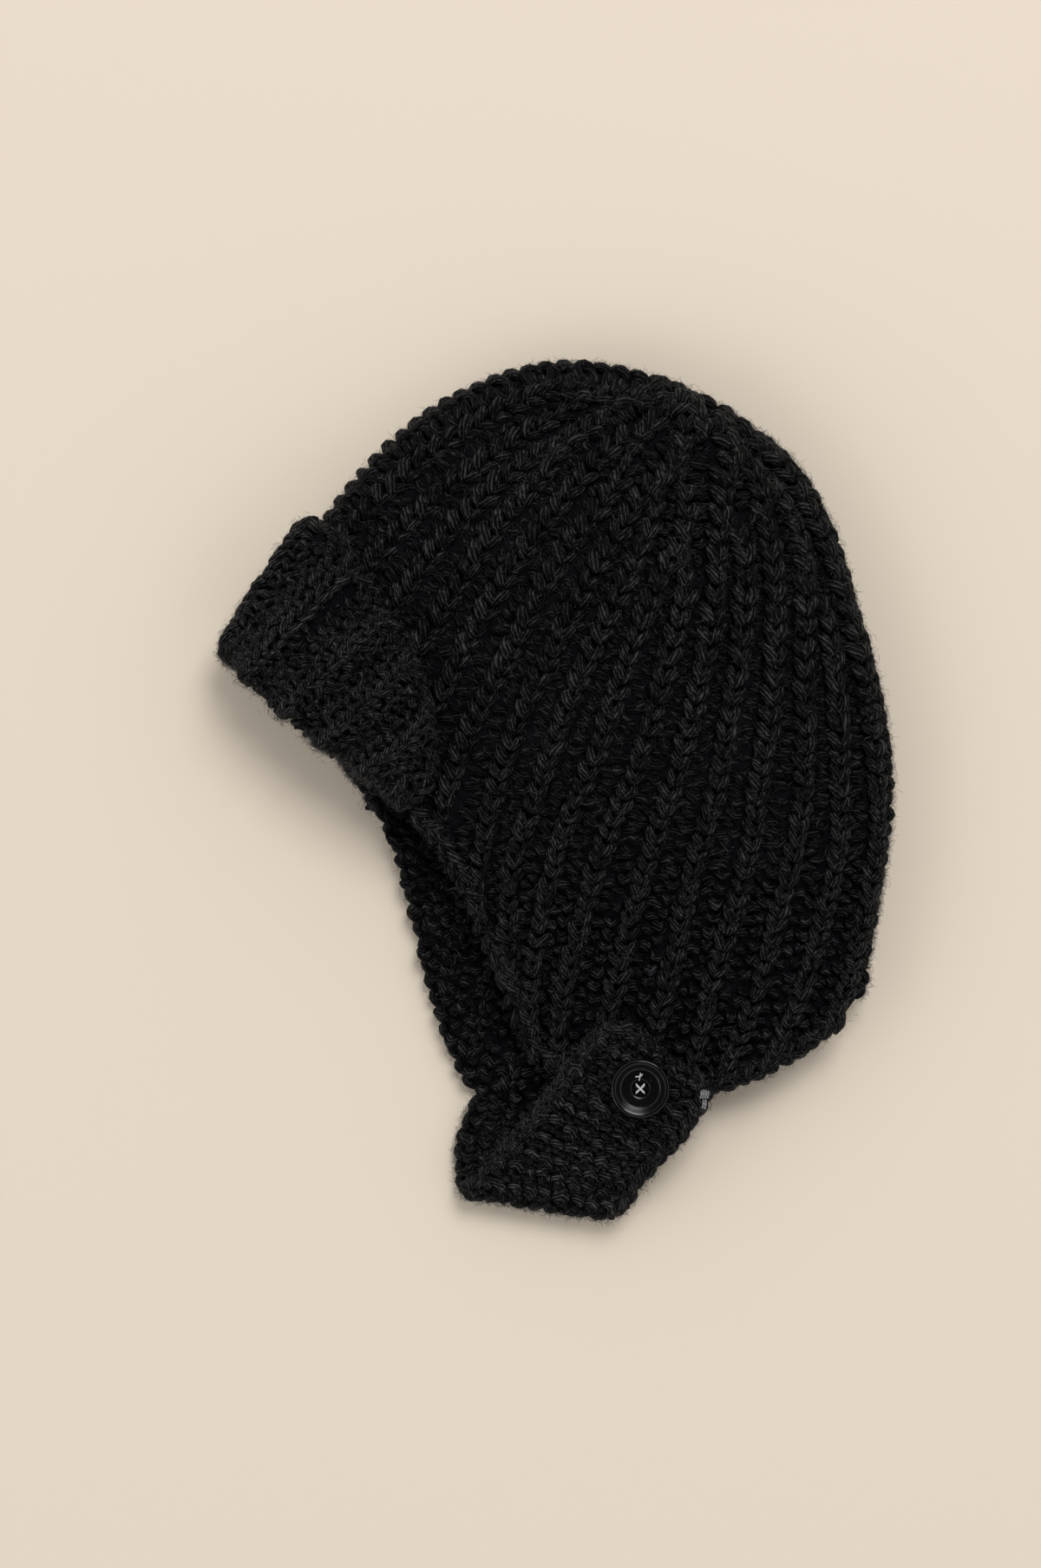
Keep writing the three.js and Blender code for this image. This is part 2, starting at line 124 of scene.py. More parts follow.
# The room is pale all round, and dims from halfway up to straight above.
world = bpy.data.worlds.new("soft room")
bpy.context.scene.world = world
world.use_nodes = True
room = world.node_tree
room_way = split(room, add_node(room, "ShaderNodeTexCoord").outputs["Generated"])
room_light = add_node(room, "ShaderNodeMapRange", interpolation_type="SMOOTHSTEP")
feed(room, room_light, Value=room_way["Z"], From_Min=0.58, From_Max=0.86, To_Min=0.98, To_Max=0.04)
feed(room, room.nodes["Background"], Color=(1, 1, 1, 1), Strength=room_light.outputs[0])

for light_name, light in (("window", WINDOW), ("bounce", WALL)):
    lamp_data = bpy.data.lights.new(light_name, "AREA")
    lamp_data.shape = "SQUARE"
    lamp_data.size = light["size"]
    lamp_data.energy = light["watts"]
    lamp = set_in_scene(light_name, lamp_data)
    lamp.location = light["at"]
    lamp.rotation_euler = (-Vector(light["at"])).to_track_quat("-Z", "Y").to_euler()

camera_data = bpy.data.cameras.new("camera")
camera_data.lens = 88
camera_data.sensor_width = 36
camera_data.clip_start = 0.01
camera = set_in_scene("camera", camera_data)
camera.location = [value * MM for value in CAMERA_AT]
bpy.context.scene.camera = camera
bpy.context.scene.view_settings.view_transform = "Standard"

# Crown: the ribbed fabric
# One layer of chunky charcoal wool, knitted in ribs of one knit and one purl stitch from the hem to the
# crown top, where the ribs are knitted together in pairs. It is one tube with an ear flap on each side.
RIBS = 33
KNIT = 4.5  # thickness of the knitting
FOLD_HEIGHT = 9  # of the folds down the forehead and the back of the head, above the paper
FOLD_REACH = 12  # the cloth curves away from them over this distance
PUFF = 20  # how far the upper side is held up over the folds
FLAP_DROP = 6.5  # how far the near ear flap sinks
# Where the ribs of the near side run, at these shares of the height from the hem to the crown top.
STRETCHES = (0, 0.2, 0.4, 0.6, 0.8, 1)
CROWN_TOP = (43, 126)
RIB_ROWS = [
    dict(rib=0, hem=(-99, 46), first=(-78, 79), second=(-56, 107), third=(-27, 128), fourth=(9, 135)),
    dict(rib=2, hem=(-86, 31), first=(-64, 61), second=(-43, 86), third=(-18, 106), fourth=(11, 120)),
    dict(rib=4, hem=(-68, 13), first=(-45, 41), second=(-28, 68), third=(-9, 92), fourth=(14, 113)),
    dict(rib=6, hem=(-37, -16), first=(-28, 15), second=(-14, 44), third=(3, 73), fourth=(23, 100)),
    dict(rib=8, hem=(-15, -62), first=(-13, -22), second=(0, 16), third=(15, 52), fourth=(33, 88)),
    dict(rib=10, hem=(0, -88), first=(7, -44), second=(21, -3), third=(35, 39), fourth=(43, 82)),
    dict(rib=12, hem=(27, -95), first=(37, -51), second=(48, -7), third=(57, 38), fourth=(57, 84)),
    dict(rib=14, hem=(52, -93), first=(67, -50), second=(77, -4), third=(78, 42), fourth=(71, 89)),
    dict(rib=16, hem=(86, -75), first=(98, -36), second=(101, 9), third=(93, 53), fourth=(76, 95)),
    dict(rib=16.5, hem=(98, -66), first=(105, -27), second=(107, 16), third=(96, 60), fourth=(79, 101)),
]
# How far the far side's hem lies past the near side's.
FAR_HEM = [
    dict(rib=0, x=0, y=0), dict(rib=4, x=0, y=0), dict(rib=6, x=-14, y=1), dict(rib=8, x=-24, y=4),
    dict(rib=9, x=-25, y=1), dict(rib=10, x=-24, y=-7), dict(rib=11, x=-20, y=-7.5),
    dict(rib=12, x=-15, y=-9.5), dict(rib=14, x=-3, y=-2), dict(rib=16.5, x=0, y=0),
]
# Ribs that are knitted together, and the share of the height where they have become one.
JOINED_RIBS = [
    dict(kept=14, gone=15, at=0.74), dict(kept=3, gone=4, at=0.76), dict(kept=9, gone=10, at=0.80),
    dict(kept=1, gone=2, at=0.84), dict(kept=11, gone=12, at=0.86), dict(kept=7, gone=8, at=0.87),
    dict(kept=5, gone=6, at=0.89), dict(kept=13, gone=14, at=0.90), dict(kept=1, gone=3, at=0.915),
    dict(kept=7, gone=9, at=0.92), dict(kept=11, gone=13, at=0.935),
]
CUFF_KNIT = 4.6  # thickness of the cuff
CUFF_GAP = 0.45  # between the cuff and the crown
CUFF_END = 5.2  # the cuff runs out at this rib on both sides
CUFF_CLEAR = 2.4  # ribs past it over which the crown comes down to the paper
ROW = 6.0  # height of the row that the stitches are drawn for
LEG_APART = 3.5  # between the middles of the two legs of a stitch
YARN = 1.95  # half the width of the yarn in one leg of a stitch


def ease(low, high, value):
    u = np.clip((np.asarray(value, float) - low) / (high - low), 0, 1)
    return u * u * (3 - 2 * u)


def spline_weights(knots, at):
    """Natural cubic spline: for each place in at, how much the value at each knot counts."""
    knots = np.asarray(knots, float)
    n = len(knots)
    gap = np.diff(knots)
    left, right = np.eye(n), np.zeros((n, n))
    for i in range(1, n - 1):
        left[i, i - 1:i + 2] = gap[i - 1], 2 * (gap[i - 1] + gap[i]), gap[i]
        right[i, i - 1:i + 2] = 6 / gap[i - 1], -6 / gap[i - 1] - 6 / gap[i], 6 / gap[i]
    bend = np.linalg.solve(left, right)
    at = np.atleast_1d(np.asarray(at, float))
    i = np.clip(np.searchsorted(knots, at), 1, n - 1)
    span = gap[i - 1]
    a = (knots[i] - at) / span
    b = 1 - a
    curve = ((a**3 - a) * span**2 / 6)[:, None] * bend[i - 1] + ((b**3 - b) * span**2 / 6)[:, None] * bend[i]
    return a[:, None] * np.eye(n)[i - 1] + b[:, None] * np.eye(n)[i] + curve


RIB_KEYS = [row["rib"] for row in RIB_ROWS]
RIB_POINTS = np.array([
    [row["hem"], row["first"], row["second"], row["third"], row["fourth"], CROWN_TOP] for row in RIB_ROWS
], float)


def crown_surface(s, t):
    """Outer face of the crown in millimetres, at rib s of 33 round the head and height t from hem to top."""
    s, t = np.broadcast_arrays(np.atleast_1d(np.asarray(s, float)), np.asarray(t, float))
    turn = np.mod(s, RIBS)
    far = turn > RIBS / 2
    rib = np.where(far, RIBS - turn, turn)
    lines = np.einsum("nj,kja->nka", spline_weights(STRETCHES, t), RIB_POINTS)
    flat = np.einsum("nk,nka->na", spline_weights(RIB_KEYS, rib), lines)
    front = np.linalg.norm(flat - lines[:, 0], axis=1)
    back = np.linalg.norm(flat - lines[:, -1], axis=1)
    inside = np.minimum(np.minimum(front, back), FOLD_REACH) / FOLD_REACH
    rounded = np.sqrt(np.clip(1 - (1 - inside) ** 2, 0, 1))
    # The far half of the cuff lies under the brow and lifts it off the paper.
    lift = (CUFF_KNIT + CUFF_GAP + 1) * (1 - ease(CUFF_END - 1, CUFF_END + CUFF_CLEAR, rib))
    lift = lift * (1 - ease(0.2, 0.46, t))
    # The upper side stands highest between the folds and halfway up, and sinks at the ear flap.
    across = np.sin(np.pi * np.minimum(rib / (RIBS / 2), 1)).clip(0)
    along = ease(-0.02, 0.55, t) * (1 - ease(0.55, 1.1, t) ** 1.5)
    sunk = FLAP_DROP * np.exp(-(((rib - 10.8) / 3.6) ** 2)) * (1 - ease(0.06, 0.42, t))
    # The far hem shows past the near one, less and less up the crown.
    drift = (1 - np.maximum(t, -0.1)) ** 2.4
    keys = [row["rib"] for row in FAR_HEM]
    hem_x = spline_weights(keys, rib) @ [row["x"] for row in FAR_HEM]
    hem_y = spline_weights(keys, rib) @ [row["y"] for row in FAR_HEM]
    x = flat[:, 0] + np.where(far, hem_x * drift, 0)
    y = flat[:, 1] + np.where(far, hem_y * drift, 0)
    z = lift + FOLD_HEIGHT
    near_height = FOLD_HEIGHT * rounded + PUFF * across**1.3 * along - sunk * rounded
    z = z + np.where(far, -FOLD_HEIGHT * rounded, near_height)
    return np.stack([x, y, z], 1)


def unit(vectors):
    return vectors / np.maximum(np.linalg.norm(vectors, axis=-1, keepdims=True), 1e-9)


def crown_frame(s, t):
    """Place, direction across the ribs, direction up the rib, and outward direction."""
    t = np.asarray(t, float)
    ds = crown_surface(s + 0.12, t) - crown_surface(s - 0.12, t)
    dt = crown_surface(s, np.minimum(t + 0.01, 0.995)) - crown_surface(s, np.minimum(t, 0.985) - 0.01)
    out = unit(np.cross(ds, dt))
    up = unit(dt)
    return crown_surface(s, t), unit(np.cross(up, out)), up, out


# Plied wool, as every stitch shows it: strands twisted round the yarn, with fine fibres along the twist.
# It reads the yarn's own UV map: u goes once round the yarn and v along it in centimetres.
wool_detail = bpy.data.node_groups.new("plied wool", "ShaderNodeTree")
wool_detail.interface.new_socket("Strands", in_out="INPUT", socket_type="NodeSocketFloat").default_value = 4
wool_detail.interface.new_socket("Twist", in_out="INPUT", socket_type="NodeSocketFloat").default_value = 5
wool_detail.interface.new_socket("Height", in_out="OUTPUT", socket_type="NodeSocketFloat")
wool_detail.interface.new_socket("Fibre", in_out="OUTPUT", socket_type="NodeSocketFloat")
wool_in = add_node(wool_detail, "NodeGroupInput")
wool_out = add_node(wool_detail, "NodeGroupOutput")
wool_uv = add_node(wool_detail, "ShaderNodeUVMap", uv_map="yarn")
wool_around, wool_along, _ = split(wool_detail, wool_uv.outputs[0])
wool_shade = add_node(wool_detail, "ShaderNodeAttribute", attribute_name="shade").outputs["Fac"]
wool_turn = maths(wool_detail, "ADD", 0.35, maths(wool_detail, "MULTIPLY", wool_shade, 1.3))
wool_turn = maths(wool_detail, "MULTIPLY", wool_in.outputs["Twist"], wool_turn)
wool_turn = maths(wool_detail, "MULTIPLY", wool_along, wool_turn)
wool_turn = maths(wool_detail, "ADD", maths(wool_detail, "MULTIPLY", wool_around, math.tau), wool_turn)
wool_run = maths(wool_detail, "MULTIPLY", wool_along, 2.4)
wool_run = maths(wool_detail, "ADD", wool_run, maths(wool_detail, "MULTIPLY", wool_shade, 37.0))
wool_ring = add_node(wool_detail, "ShaderNodeCombineXYZ")
feed(wool_detail, wool_ring, X=maths(wool_detail, "COSINE", wool_turn),
     Y=maths(wool_detail, "SINE", wool_turn), Z=wool_run)
wool_fine = noise(wool_detail, wool_ring.outputs[0], 2.3, 2.5, 0.6)
wool_ply = maths(wool_detail, "MULTIPLY", wool_turn, wool_in.outputs["Strands"])
wool_ply = maths(wool_detail, "ADD", wool_ply, maths(wool_detail, "MULTIPLY", wool_fine, 7.0))
wool_ply = maths(wool_detail, "POWER", maths(wool_detail, "SINE", wool_ply), 2.0)
wool_height = maths(wool_detail, "ADD", maths(wool_detail, "MULTIPLY", wool_ply, 0.6),
                    maths(wool_detail, "MULTIPLY", wool_fine, 0.9))
# The second output marks where the wool colour gets painted glints.
wool_glint = maths(wool_detail, "ADD", maths(wool_detail, "MULTIPLY", wool_ply, 0.45),
                   maths(wool_detail, "MULTIPLY", wool_fine, 1.1))
feed(wool_detail, wool_out, Height=wool_height, Fibre=wool_glint)


def grey(tone):
    return tone, tone, tone, 1


def blend(tree, share, first, second):
    """A colour between two."""
    node = add_node(tree, "ShaderNodeMix", data_type="RGBA")
    return feed(tree, node, n0=share, n6=first, n7=second).outputs[2]


def wool(name, deep, glint_colour, lift, shine):
    """Charcoal wool: painted shade makes it darker in the twist, painted glints make it paler on the fibres
    that catch the light, and some stitches are cooler.
    """
    material, tree, shader = new_material(name)
    detail = feed(tree, add_node(tree, "ShaderNodeGroup", node_tree=wool_detail), Strands=4.0, Twist=2.2)
    shade = add_node(tree, "ShaderNodeAttribute", attribute_name="shade").outputs["Fac"]
    # Painted glints: the colour goes from the deep wool colour to the glint colour where the fibre streaks
    # are strongest.
    streak = maths(tree, "MULTIPLY", maths(tree, "SUBTRACT", detail.outputs["Fibre"], 0.36), 1.45, clamp=True)
    tone = maths(tree, "MULTIPLY", maths(tree, "POWER", streak, 5.2), maths(tree, "ADD", 0.5, shade))
    cool = tuple(glint_colour[k] * (0.97, 0.98, 1.05, 1)[k] for k in range(4))
    warm = tuple(glint_colour[k] * (1.02, 1.02, 0.96, 1)[k] for k in range(4))
    glint_tint = blend(tree, maths(tree, "FRACT", maths(tree, "MULTIPLY", shade, 7.3)), cool, warm)
    feed(tree, shader, Base_Color=blend(tree, tone, deep, glint_tint), Roughness=0.37, Specular_IOR_Level=shine,
         Normal=relief(tree, detail.outputs["Height"], lift))
    return material


DEEP_WOOL = (0.0011, 0.0011, 0.0014, 1)
rib_wool = wool("charcoal wool", DEEP_WOOL, grey(0.047), 0.0007, 0.042)
# A darker copy of the wool for the purl arches in the valleys: painted shade.
shaded_wool = wool("charcoal wool, painted shade in the hollows", (0.0010, 0.0010, 0.0014, 1), (0.042, 0.042, 0.044, 1),
                 0.0006, 0.035)


def yarn_piece(name, stations, sides, material):
    """A short length of yarn: a tube drawn out of a circle, shaped at each station (x, y, z, radius)."""
    bm = bmesh.new()
    uv = bm.loops.layers.uv.new("yarn")
    path = [Vector(station[:3]) for station in stations]
    ring = bmesh.ops.create_circle(bm, segments=sides, radius=1)["verts"]
    order = {vert: i for i, vert in enumerate(ring)}
    station_of = {vert: 0 for vert in ring}
    edges = list(bm.edges)
    rings = [list(ring)]
    for k in range(1, len(stations)):
        drawn = bmesh.ops.extrude_edge_only(bm, edges=edges)["geom"]
        fresh = [item for item in drawn if isinstance(item, bmesh.types.BMVert)]
        edges = [e for e in drawn if isinstance(e, bmesh.types.BMEdge) and all(v in fresh for v in e.verts)]
        for vert in fresh:
            near = min(rings[-1], key=lambda old: (old.co - vert.co).length)
            order[vert], station_of[vert] = order[near], k
        bmesh.ops.translate(bm, verts=fresh, vec=(0, 0, 1))
        rings.append(fresh)
    for loop_ring in (rings[0], rings[-1]):
        bmesh.ops.contextual_create(bm, geom=loop_ring)
    length = [0.0]
    for a, b in zip(path, path[1:]):
        length.append(length[-1] + (b - a).length)
    for face in bm.faces:
        face.smooth = True
        turns = [order[loop.vert] for loop in face.loops]
        wraps = max(turns) - min(turns) > sides / 2 and len(turns) == 4
        for loop in face.loops:
            around = order[loop.vert]
            around += sides if wraps and around < sides / 2 else 0
            loop[uv].uv = (around / sides, length[station_of[loop.vert]] / 10)
    for k, loop_ring in enumerate(rings):
        along = (path[min(k + 1, len(path) - 1)] - path[max(k - 1, 0)]).normalized()
        turn = along.to_track_quat("Z", "Y").to_matrix().to_4x4()
        radius = stations[k][3]
        for vert in loop_ring:
            vert.co.z = 0
        bmesh.ops.scale(bm, verts=loop_ring, vec=(radius, radius, 1))
        bmesh.ops.transform(bm, verts=loop_ring, matrix=Matrix.Translation(path[k]) @ turn)
    bmesh.ops.recalc_face_normals(bm, faces=bm.faces)
    bmesh.ops.scale(bm, verts=bm.verts, vec=(MM, MM, MM))
    return bpy.data.objects.new(name, mesh_of(bm, name, material))


def lay_stitches(name, kinds, laid):
    """One mesh of all stitches. laid holds, for each: which kind, place, three directions, size and shade."""
    kinds_shelf = bpy.data.collections.new(name + " kinds")
    for i, kind in enumerate(kinds):
        kind.name = f"{name}_{i}"
        kinds_shelf.objects.link(kind)
    spots = bpy.data.meshes.new(name + " spots")
    spots.from_pydata((laid["place"] * MM).tolist(), [], [])
    stitch_axes = zip(laid["x"], laid["y"], laid["z"])
    turns = [Matrix(np.stack(axes, 1).tolist()).to_quaternion() for axes in stitch_axes]
    for key, form, field, values, number in (
        ("turn", "QUATERNION", "value", turns, np.float32),
        ("size", "FLOAT_VECTOR", "vector", laid["size"], np.float32),
        ("kind", "INT", "value", laid["kind"], np.int32),
        ("shade", "FLOAT", "value", laid["shade"], np.float32),
    ):
        spots.attributes.new(key, form, "POINT").data.foreach_set(field, np.array(values, number).ravel())
    holder = set_in_scene(name + " spots", spots)
    tree = bpy.data.node_groups.new(name + " laying", "GeometryNodeTree")
    tree.interface.new_socket("Geometry", in_out="INPUT", socket_type="NodeSocketGeometry")
    tree.interface.new_socket("Geometry", in_out="OUTPUT", socket_type="NodeSocketGeometry")
    source = add_node(tree, "NodeGroupInput")
    result = add_node(tree, "NodeGroupOutput")
    shelf = add_node(tree, "GeometryNodeCollectionInfo")
    feed(tree, shelf, Collection=kinds_shelf, Separate_Children=True, Reset_Children=True)
    put = add_node(tree, "GeometryNodeInstanceOnPoints")
    read = {}
    for key, form in (("turn", "QUATERNION"), ("size", "FLOAT_VECTOR"), ("kind", "INT")):
        read[key] = add_node(tree, "GeometryNodeInputNamedAttribute", data_type=form)
        feed(tree, read[key], Name=key)
    feed(tree, put, Points=source.outputs[0], Instance=shelf.outputs[0], Pick_Instance=True,
         Instance_Index=read["kind"].outputs["Attribute"], Rotation=read["turn"].outputs["Attribute"],
         Scale=read["size"].outputs["Attribute"])
    real = feed(tree, add_node(tree, "GeometryNodeRealizeInstances"), n0=put.outputs[0])
    tree.links.new(real.outputs[0], result.inputs[0])
    holder.modifiers.new("laying", "NODES").node_group = tree
    bpy.context.view_layer.update()
    made = bpy.data.meshes.new_from_object(
        holder.evaluated_get(bpy.context.evaluated_depsgraph_get()), preserve_all_data_layers=True,
        depsgraph=bpy.context.evaluated_depsgraph_get())
    bpy.data.objects.remove(holder)
    for kind in kinds:
        bpy.data.objects.remove(kind)
    bpy.data.collections.remove(kinds_shelf)
    piece = set_in_scene(name, made)
    made.name = name
    for key in ("turn", "size", "kind"):
        if key in made.attributes:
            made.attributes.remove(made.attributes[key])
    rest_on_ground(piece)
    return piece


def rest_on_ground(piece):
    """Where the cloth meets the paper, its underside is pressed flat on it."""
    for vert in piece.data.vertices:
        if vert.co.z < 0.02 * MM:
            vert.co.z = 0.02 * MM


chance = np.random.default_rng(7)


def laid_out(kind, place, x, y, z, size, loose=(0.25, 5.0, 0.06), shade=(0.0, 1.0)):
    """Stitches as laid by hand: each a little off its place, turned and fuller or slimmer than the next."""
    count = len(place)
    shift, turn, swell = loose
    place = place + chance.normal(0, shift, (count, 3))
    angle = np.radians(chance.normal(0, turn, (count, 2)))
    y = unit(y + x * np.tan(angle[:, :1]))
    z = unit(z - (z * y).sum(1, keepdims=True) * y)
    z = unit(z + np.cross(y, z) * np.tan(angle[:, 1:]))
    x = np.cross(y, z)
    size = np.broadcast_to(size, (count, 3)) * chance.normal(1, swell, (count, 3))
    shades = chance.uniform(*shade, count)
    return dict(kind=np.full(count, kind), place=place, x=x, y=y, z=z, size=size, shade=shades)


def together(parts):
    return {key: np.concatenate([part[key] for part in parts]) for key in parts[0]}


def closed_fabric(name, rings, material):
    """A closed fabric body from one grid: its rows are rings of points, joined at the seam and the ends."""
    rows, columns = len(rings), len(rings[0])
    bm = bmesh.new()
    grid = bmesh.ops.create_grid(bm, x_segments=columns, y_segments=rows - 1, size=1)["verts"]
    bm.verts.ensure_lookup_table()
    order = sorted(grid, key=lambda vert: (round(vert.co.y, 6), round(vert.co.x, 6)))
    for i, vert in enumerate(order):
        row, column = divmod(i, columns + 1)
        vert.co = Vector(rings[row][column % columns]) * MM
    bmesh.ops.remove_doubles(bm, verts=bm.verts, dist=1e-6)
    bmesh.ops.holes_fill(bm, edges=bm.edges, sides=0)
    bmesh.ops.recalc_face_normals(bm, faces=bm.faces)
    for face in bm.faces:
        face.smooth = True
    piece = set_in_scene(name, mesh_of(bm, name, material))
    rest_on_ground(piece)
    return piece


# The ground of the fabric, between and behind the stitches, so that no light comes through.
backing, backing_nodes, backing_shader = new_material("charcoal wool, behind the stitches")
backing_place = add_node(backing_nodes, "ShaderNodeTexCoord").outputs["Object"]
backing_loops = add_node(backing_nodes, "ShaderNodeTexVoronoi")
feed(backing_nodes, backing_loops, Vector=backing_place, Scale=330.0)
backing_tone = blend(backing_nodes, noise(backing_nodes, backing_place, 1600.0, 3.0),
                     (0.0020, 0.0020, 0.0027, 1), (0.0075, 0.0075, 0.0095, 1))
feed(backing_nodes, backing_shader, Base_Color=backing_tone, Roughness=0.9, Specular_IOR_Level=0.02,
     Normal=relief(backing_nodes, backing_loops.outputs["Distance"], 0.0012))

BACKING_DEPTH = 3.1  # of its face under the tops of the stitches
around = np.arange(0, RIBS, 0.25)
outer_heights = np.r_[0.965, 0.94:0.0:-0.025, 0.0]
inner_heights = np.r_[0.0:0.9:0.05, 0.92]
crown_rings = []
for heights, depth in ((outer_heights, BACKING_DEPTH), (inner_heights, KNIT)):
    for t in heights:
        place, _, _, out = crown_frame(around, np.full_like(around, t))
        crown_rings.append(place - out * depth)
crown_fabric = closed_fabric("crown_fabric", crown_rings, backing)

# Knit columns: each rib is a braid of stitches, two leaning legs of yarn to a row.
LEG_STATIONS = [
    (-1.6, -3.2, -3.0, 1.05), (-1.3, -2.5, -1.35, 1.5), (-0.8, -1.35, -0.05, 1.8),
    (0.0, 0.0, 0.35, 1.92), (0.85, 1.35, 0.0, 1.82), (1.4, 2.5, -1.3, 1.5), (1.65, 3.2, -2.9, 1.05),
]


def leg_pair(name, sides, material):
    """The left and the right leg of a knit stitch, leaning away from each other as they go up."""
    legs = {"left": [(-x, y, z, r) for x, y, z, r in LEG_STATIONS], "right": LEG_STATIONS}
    return [yarn_piece(f"{name} {leg}", line, sides, material) for leg, line in legs.items()]


# Ribs are knitted together in pairs where JOINED_RIBS says: the two lean into one, and the one that goes
# dives under the one that stays.
HEIGHTS = np.linspace(0, 0.97, 195)
JOINING = 0.11  # over this share of the height two ribs lean into one


def straight_pitch(s, t):
    """Distance from one rib to the next, measured square to the ribs."""
    _, across, _, _ = crown_frame(s, t)
    return ((crown_surface(s + 0.5, t) - crown_surface(s - 0.5, t)) * across).sum(1)


def column_table():
    """For ribs 0 to 16 and each height: the middle and the width in millimetres."""
    fine = np.linspace(0, RIBS / 2, 67)
    middles, widths = [], []
    for t in HEIGHTS:
        pitches = straight_pitch((fine[1:] + fine[:-1]) / 2, np.full(66, t))
        cloth = np.r_[0, np.cumsum(pitches)] * (fine[1] - fine[0])
        start, end = np.r_[0, np.arange(16) + 0.5], np.arange(17) + 0.5
        leans = []
        for row in JOINED_RIBS:
            lean = float(ease(row["at"] - JOINING, row["at"], t))
            leans.append((row["kept"], row["gone"], lean))
            end[row["kept"]] += (end[row["gone"]] - end[row["kept"]]) * lean
        middle = (start + end) / 2
        middle[0] = 0
        width = np.interp(end, fine, cloth) - np.interp(start, fine, cloth)
        width[0] *= 2
        for kept, gone, lean in reversed(leans):
            middle[gone] += (middle[kept] - middle[gone]) * lean
            width[gone] *= 1 - 0.5 * lean
        middles.append(middle)
        widths.append(width)
    return np.array(middles).T, np.array(widths).T


COLUMN_MIDDLES, COLUMN_WIDTHS = column_table()


def column(rib):
    """Line up the middle of a rib: heights, places round the head and the column's width in millimetres."""
    side = RIBS - rib if rib > RIBS / 2 else rib
    top = next((row["at"] - 0.01 for row in JOINED_RIBS if row["gone"] == side), 0.955)
    t = np.linspace(0, top, 240)
    middle = np.interp(t, HEIGHTS, COLUMN_MIDDLES[side])
    return t, RIBS - middle if rib > RIBS / 2 else middle, np.interp(t, HEIGHTS, COLUMN_WIDTHS[side])


def valley_line(valley):
    """The same up the middle of the valley between two ribs, as far as where they are knitted together."""
    side = RIBS - valley if valley > RIBS / 2 else valley
    rib = int(side - 0.5)
    top = next((row["at"] - 0.03 for row in JOINED_RIBS if row["kept"] <= rib < row["gone"]), 0.93)
    t = np.linspace(0, top, 200)
    low, high = (np.interp(t, HEIGHTS, COLUMN_MIDDLES[k]) for k in (rib, rib + 1))
    middle = (low + high) / 2
    _, across, _, _ = crown_frame(middle, t)
    width = ((crown_surface(high, t) - crown_surface(low, t)) * across).sum(1)
    return t, RIBS - middle if valley > RIBS / 2 else middle, width


def beside(s, t, by):
    """The place on the crown that lies by millimetres straight across the rib."""
    _, across, up, _ = crown_frame(s, t)
    one_rib = (crown_surface(s + 0.2, t) - crown_surface(s - 0.2, t)) / 0.4
    whole_height = (crown_surface(s, t + 0.01) - crown_surface(s, t - 0.01)) / 0.02
    ribs = by / np.maximum((one_rib * across).sum(1), 1.0)
    return s + ribs, np.minimum(t - ribs * (one_rib * up).sum(1) / (whole_height * up).sum(1), 0.985)


def jumbled(points):
    """By the hem the purl columns rise to the face and the stitches lie less in line: 0 above, 1 below."""
    return 1 - ease(-55, 12, points[:, 1])


def row_pitch(points):
    """Height of a row in millimetres: most at the upper back of the crown, least by the hem."""
    x, y = points[:, 0], points[:, 1]
    return 5.0 + 0.016 * np.clip(y, -20, 50) + 0.012 * np.clip(x, 0, 80) * ease(0, 40, y)


def rows_along(points, height, offset):
    """Heights of the rows on one column, counted down from the top of the line."""
    step = np.linalg.norm(np.diff(points, axis=0), axis=1)
    count = np.r_[0, np.cumsum(step / row_pitch((points[1:] + points[:-1]) / 2))]
    rows = max(int(round(count[-1])), 2)
    at = count[-1] * (1 - (np.arange(rows) + offset) / rows)
    return np.interp(at, count, height)


def braid(line, depth, inward=False, full=1.0, start=0.5):
    """The two legs of every stitch along one column, from the top of the line down to the hem."""
    height, middle, wide = line
    t = rows_along(crown_surface(middle, height), height, start)
    s = np.interp(t, height, middle)
    width = np.interp(t, height, wide)
    points = crown_surface(s, t)
    tall = row_pitch(points) / ROW
    # The column wanders, and more so by the hem. Its stitches widen where two ribs have become one.
    loose = jumbled(points)
    sway = 0.45 * np.sin(np.arange(len(t)) * 0.5 + s * 2.1) + chance.normal(0, 0.18, len(t)) * loose
    joined = ease(0.62, 0.78, t)
    apart = LEG_APART * np.minimum(tall, 0.97) * np.clip(width / 13, 1, 1.1 + 0.1 * joined)
    apart = np.minimum(apart, 0.36 * width)
    scale = np.clip(apart / LEG_APART, 0.45, 1.1 + 0.05 * joined)
    flip = -1 if inward else 1
    # By the brow one leg of each stitch lies over the other, as in a cord.
    cord = np.where(s < RIBS / 2, 1 - ease(5.0, 10.5, s), 0) * (1 - ease(0.6, 0.8, t))
    parts = []
    for side in (-1, 1):
        place, _, up, out = crown_frame(*beside(s, t, side * apart / 2 + sway))
        across = np.cross(up, out)
        tilt = unit(out + across * side * 0.25) * flip
        swell = full * (1 - 0.04 * loose) * (1 - side * 0.16 * cord)
        size = np.stack([scale * swell, tall * (1 + 0.06 * loose), (0.3 + 0.7 * scale) * swell], 1)
        down = depth + (1 - tall) * 0.3 + (1 - scale).clip(0.3) * 1.5 - 0.45 - 0.5 * loose
        down = down + (side + 1) * 0.6 * cord
        slack = (0.22 + 0.1 * loose[:, None], 5.0 + 4.0 * loose[:, None], 0.08)
        kind = 1 if side * flip > 0 else 0
        place = place - out * down[:, None]
        parts.append(laid_out(kind, place, np.cross(up, tilt), up, tilt, size, slack, (0.35 * loose, 1.0)))
    return parts


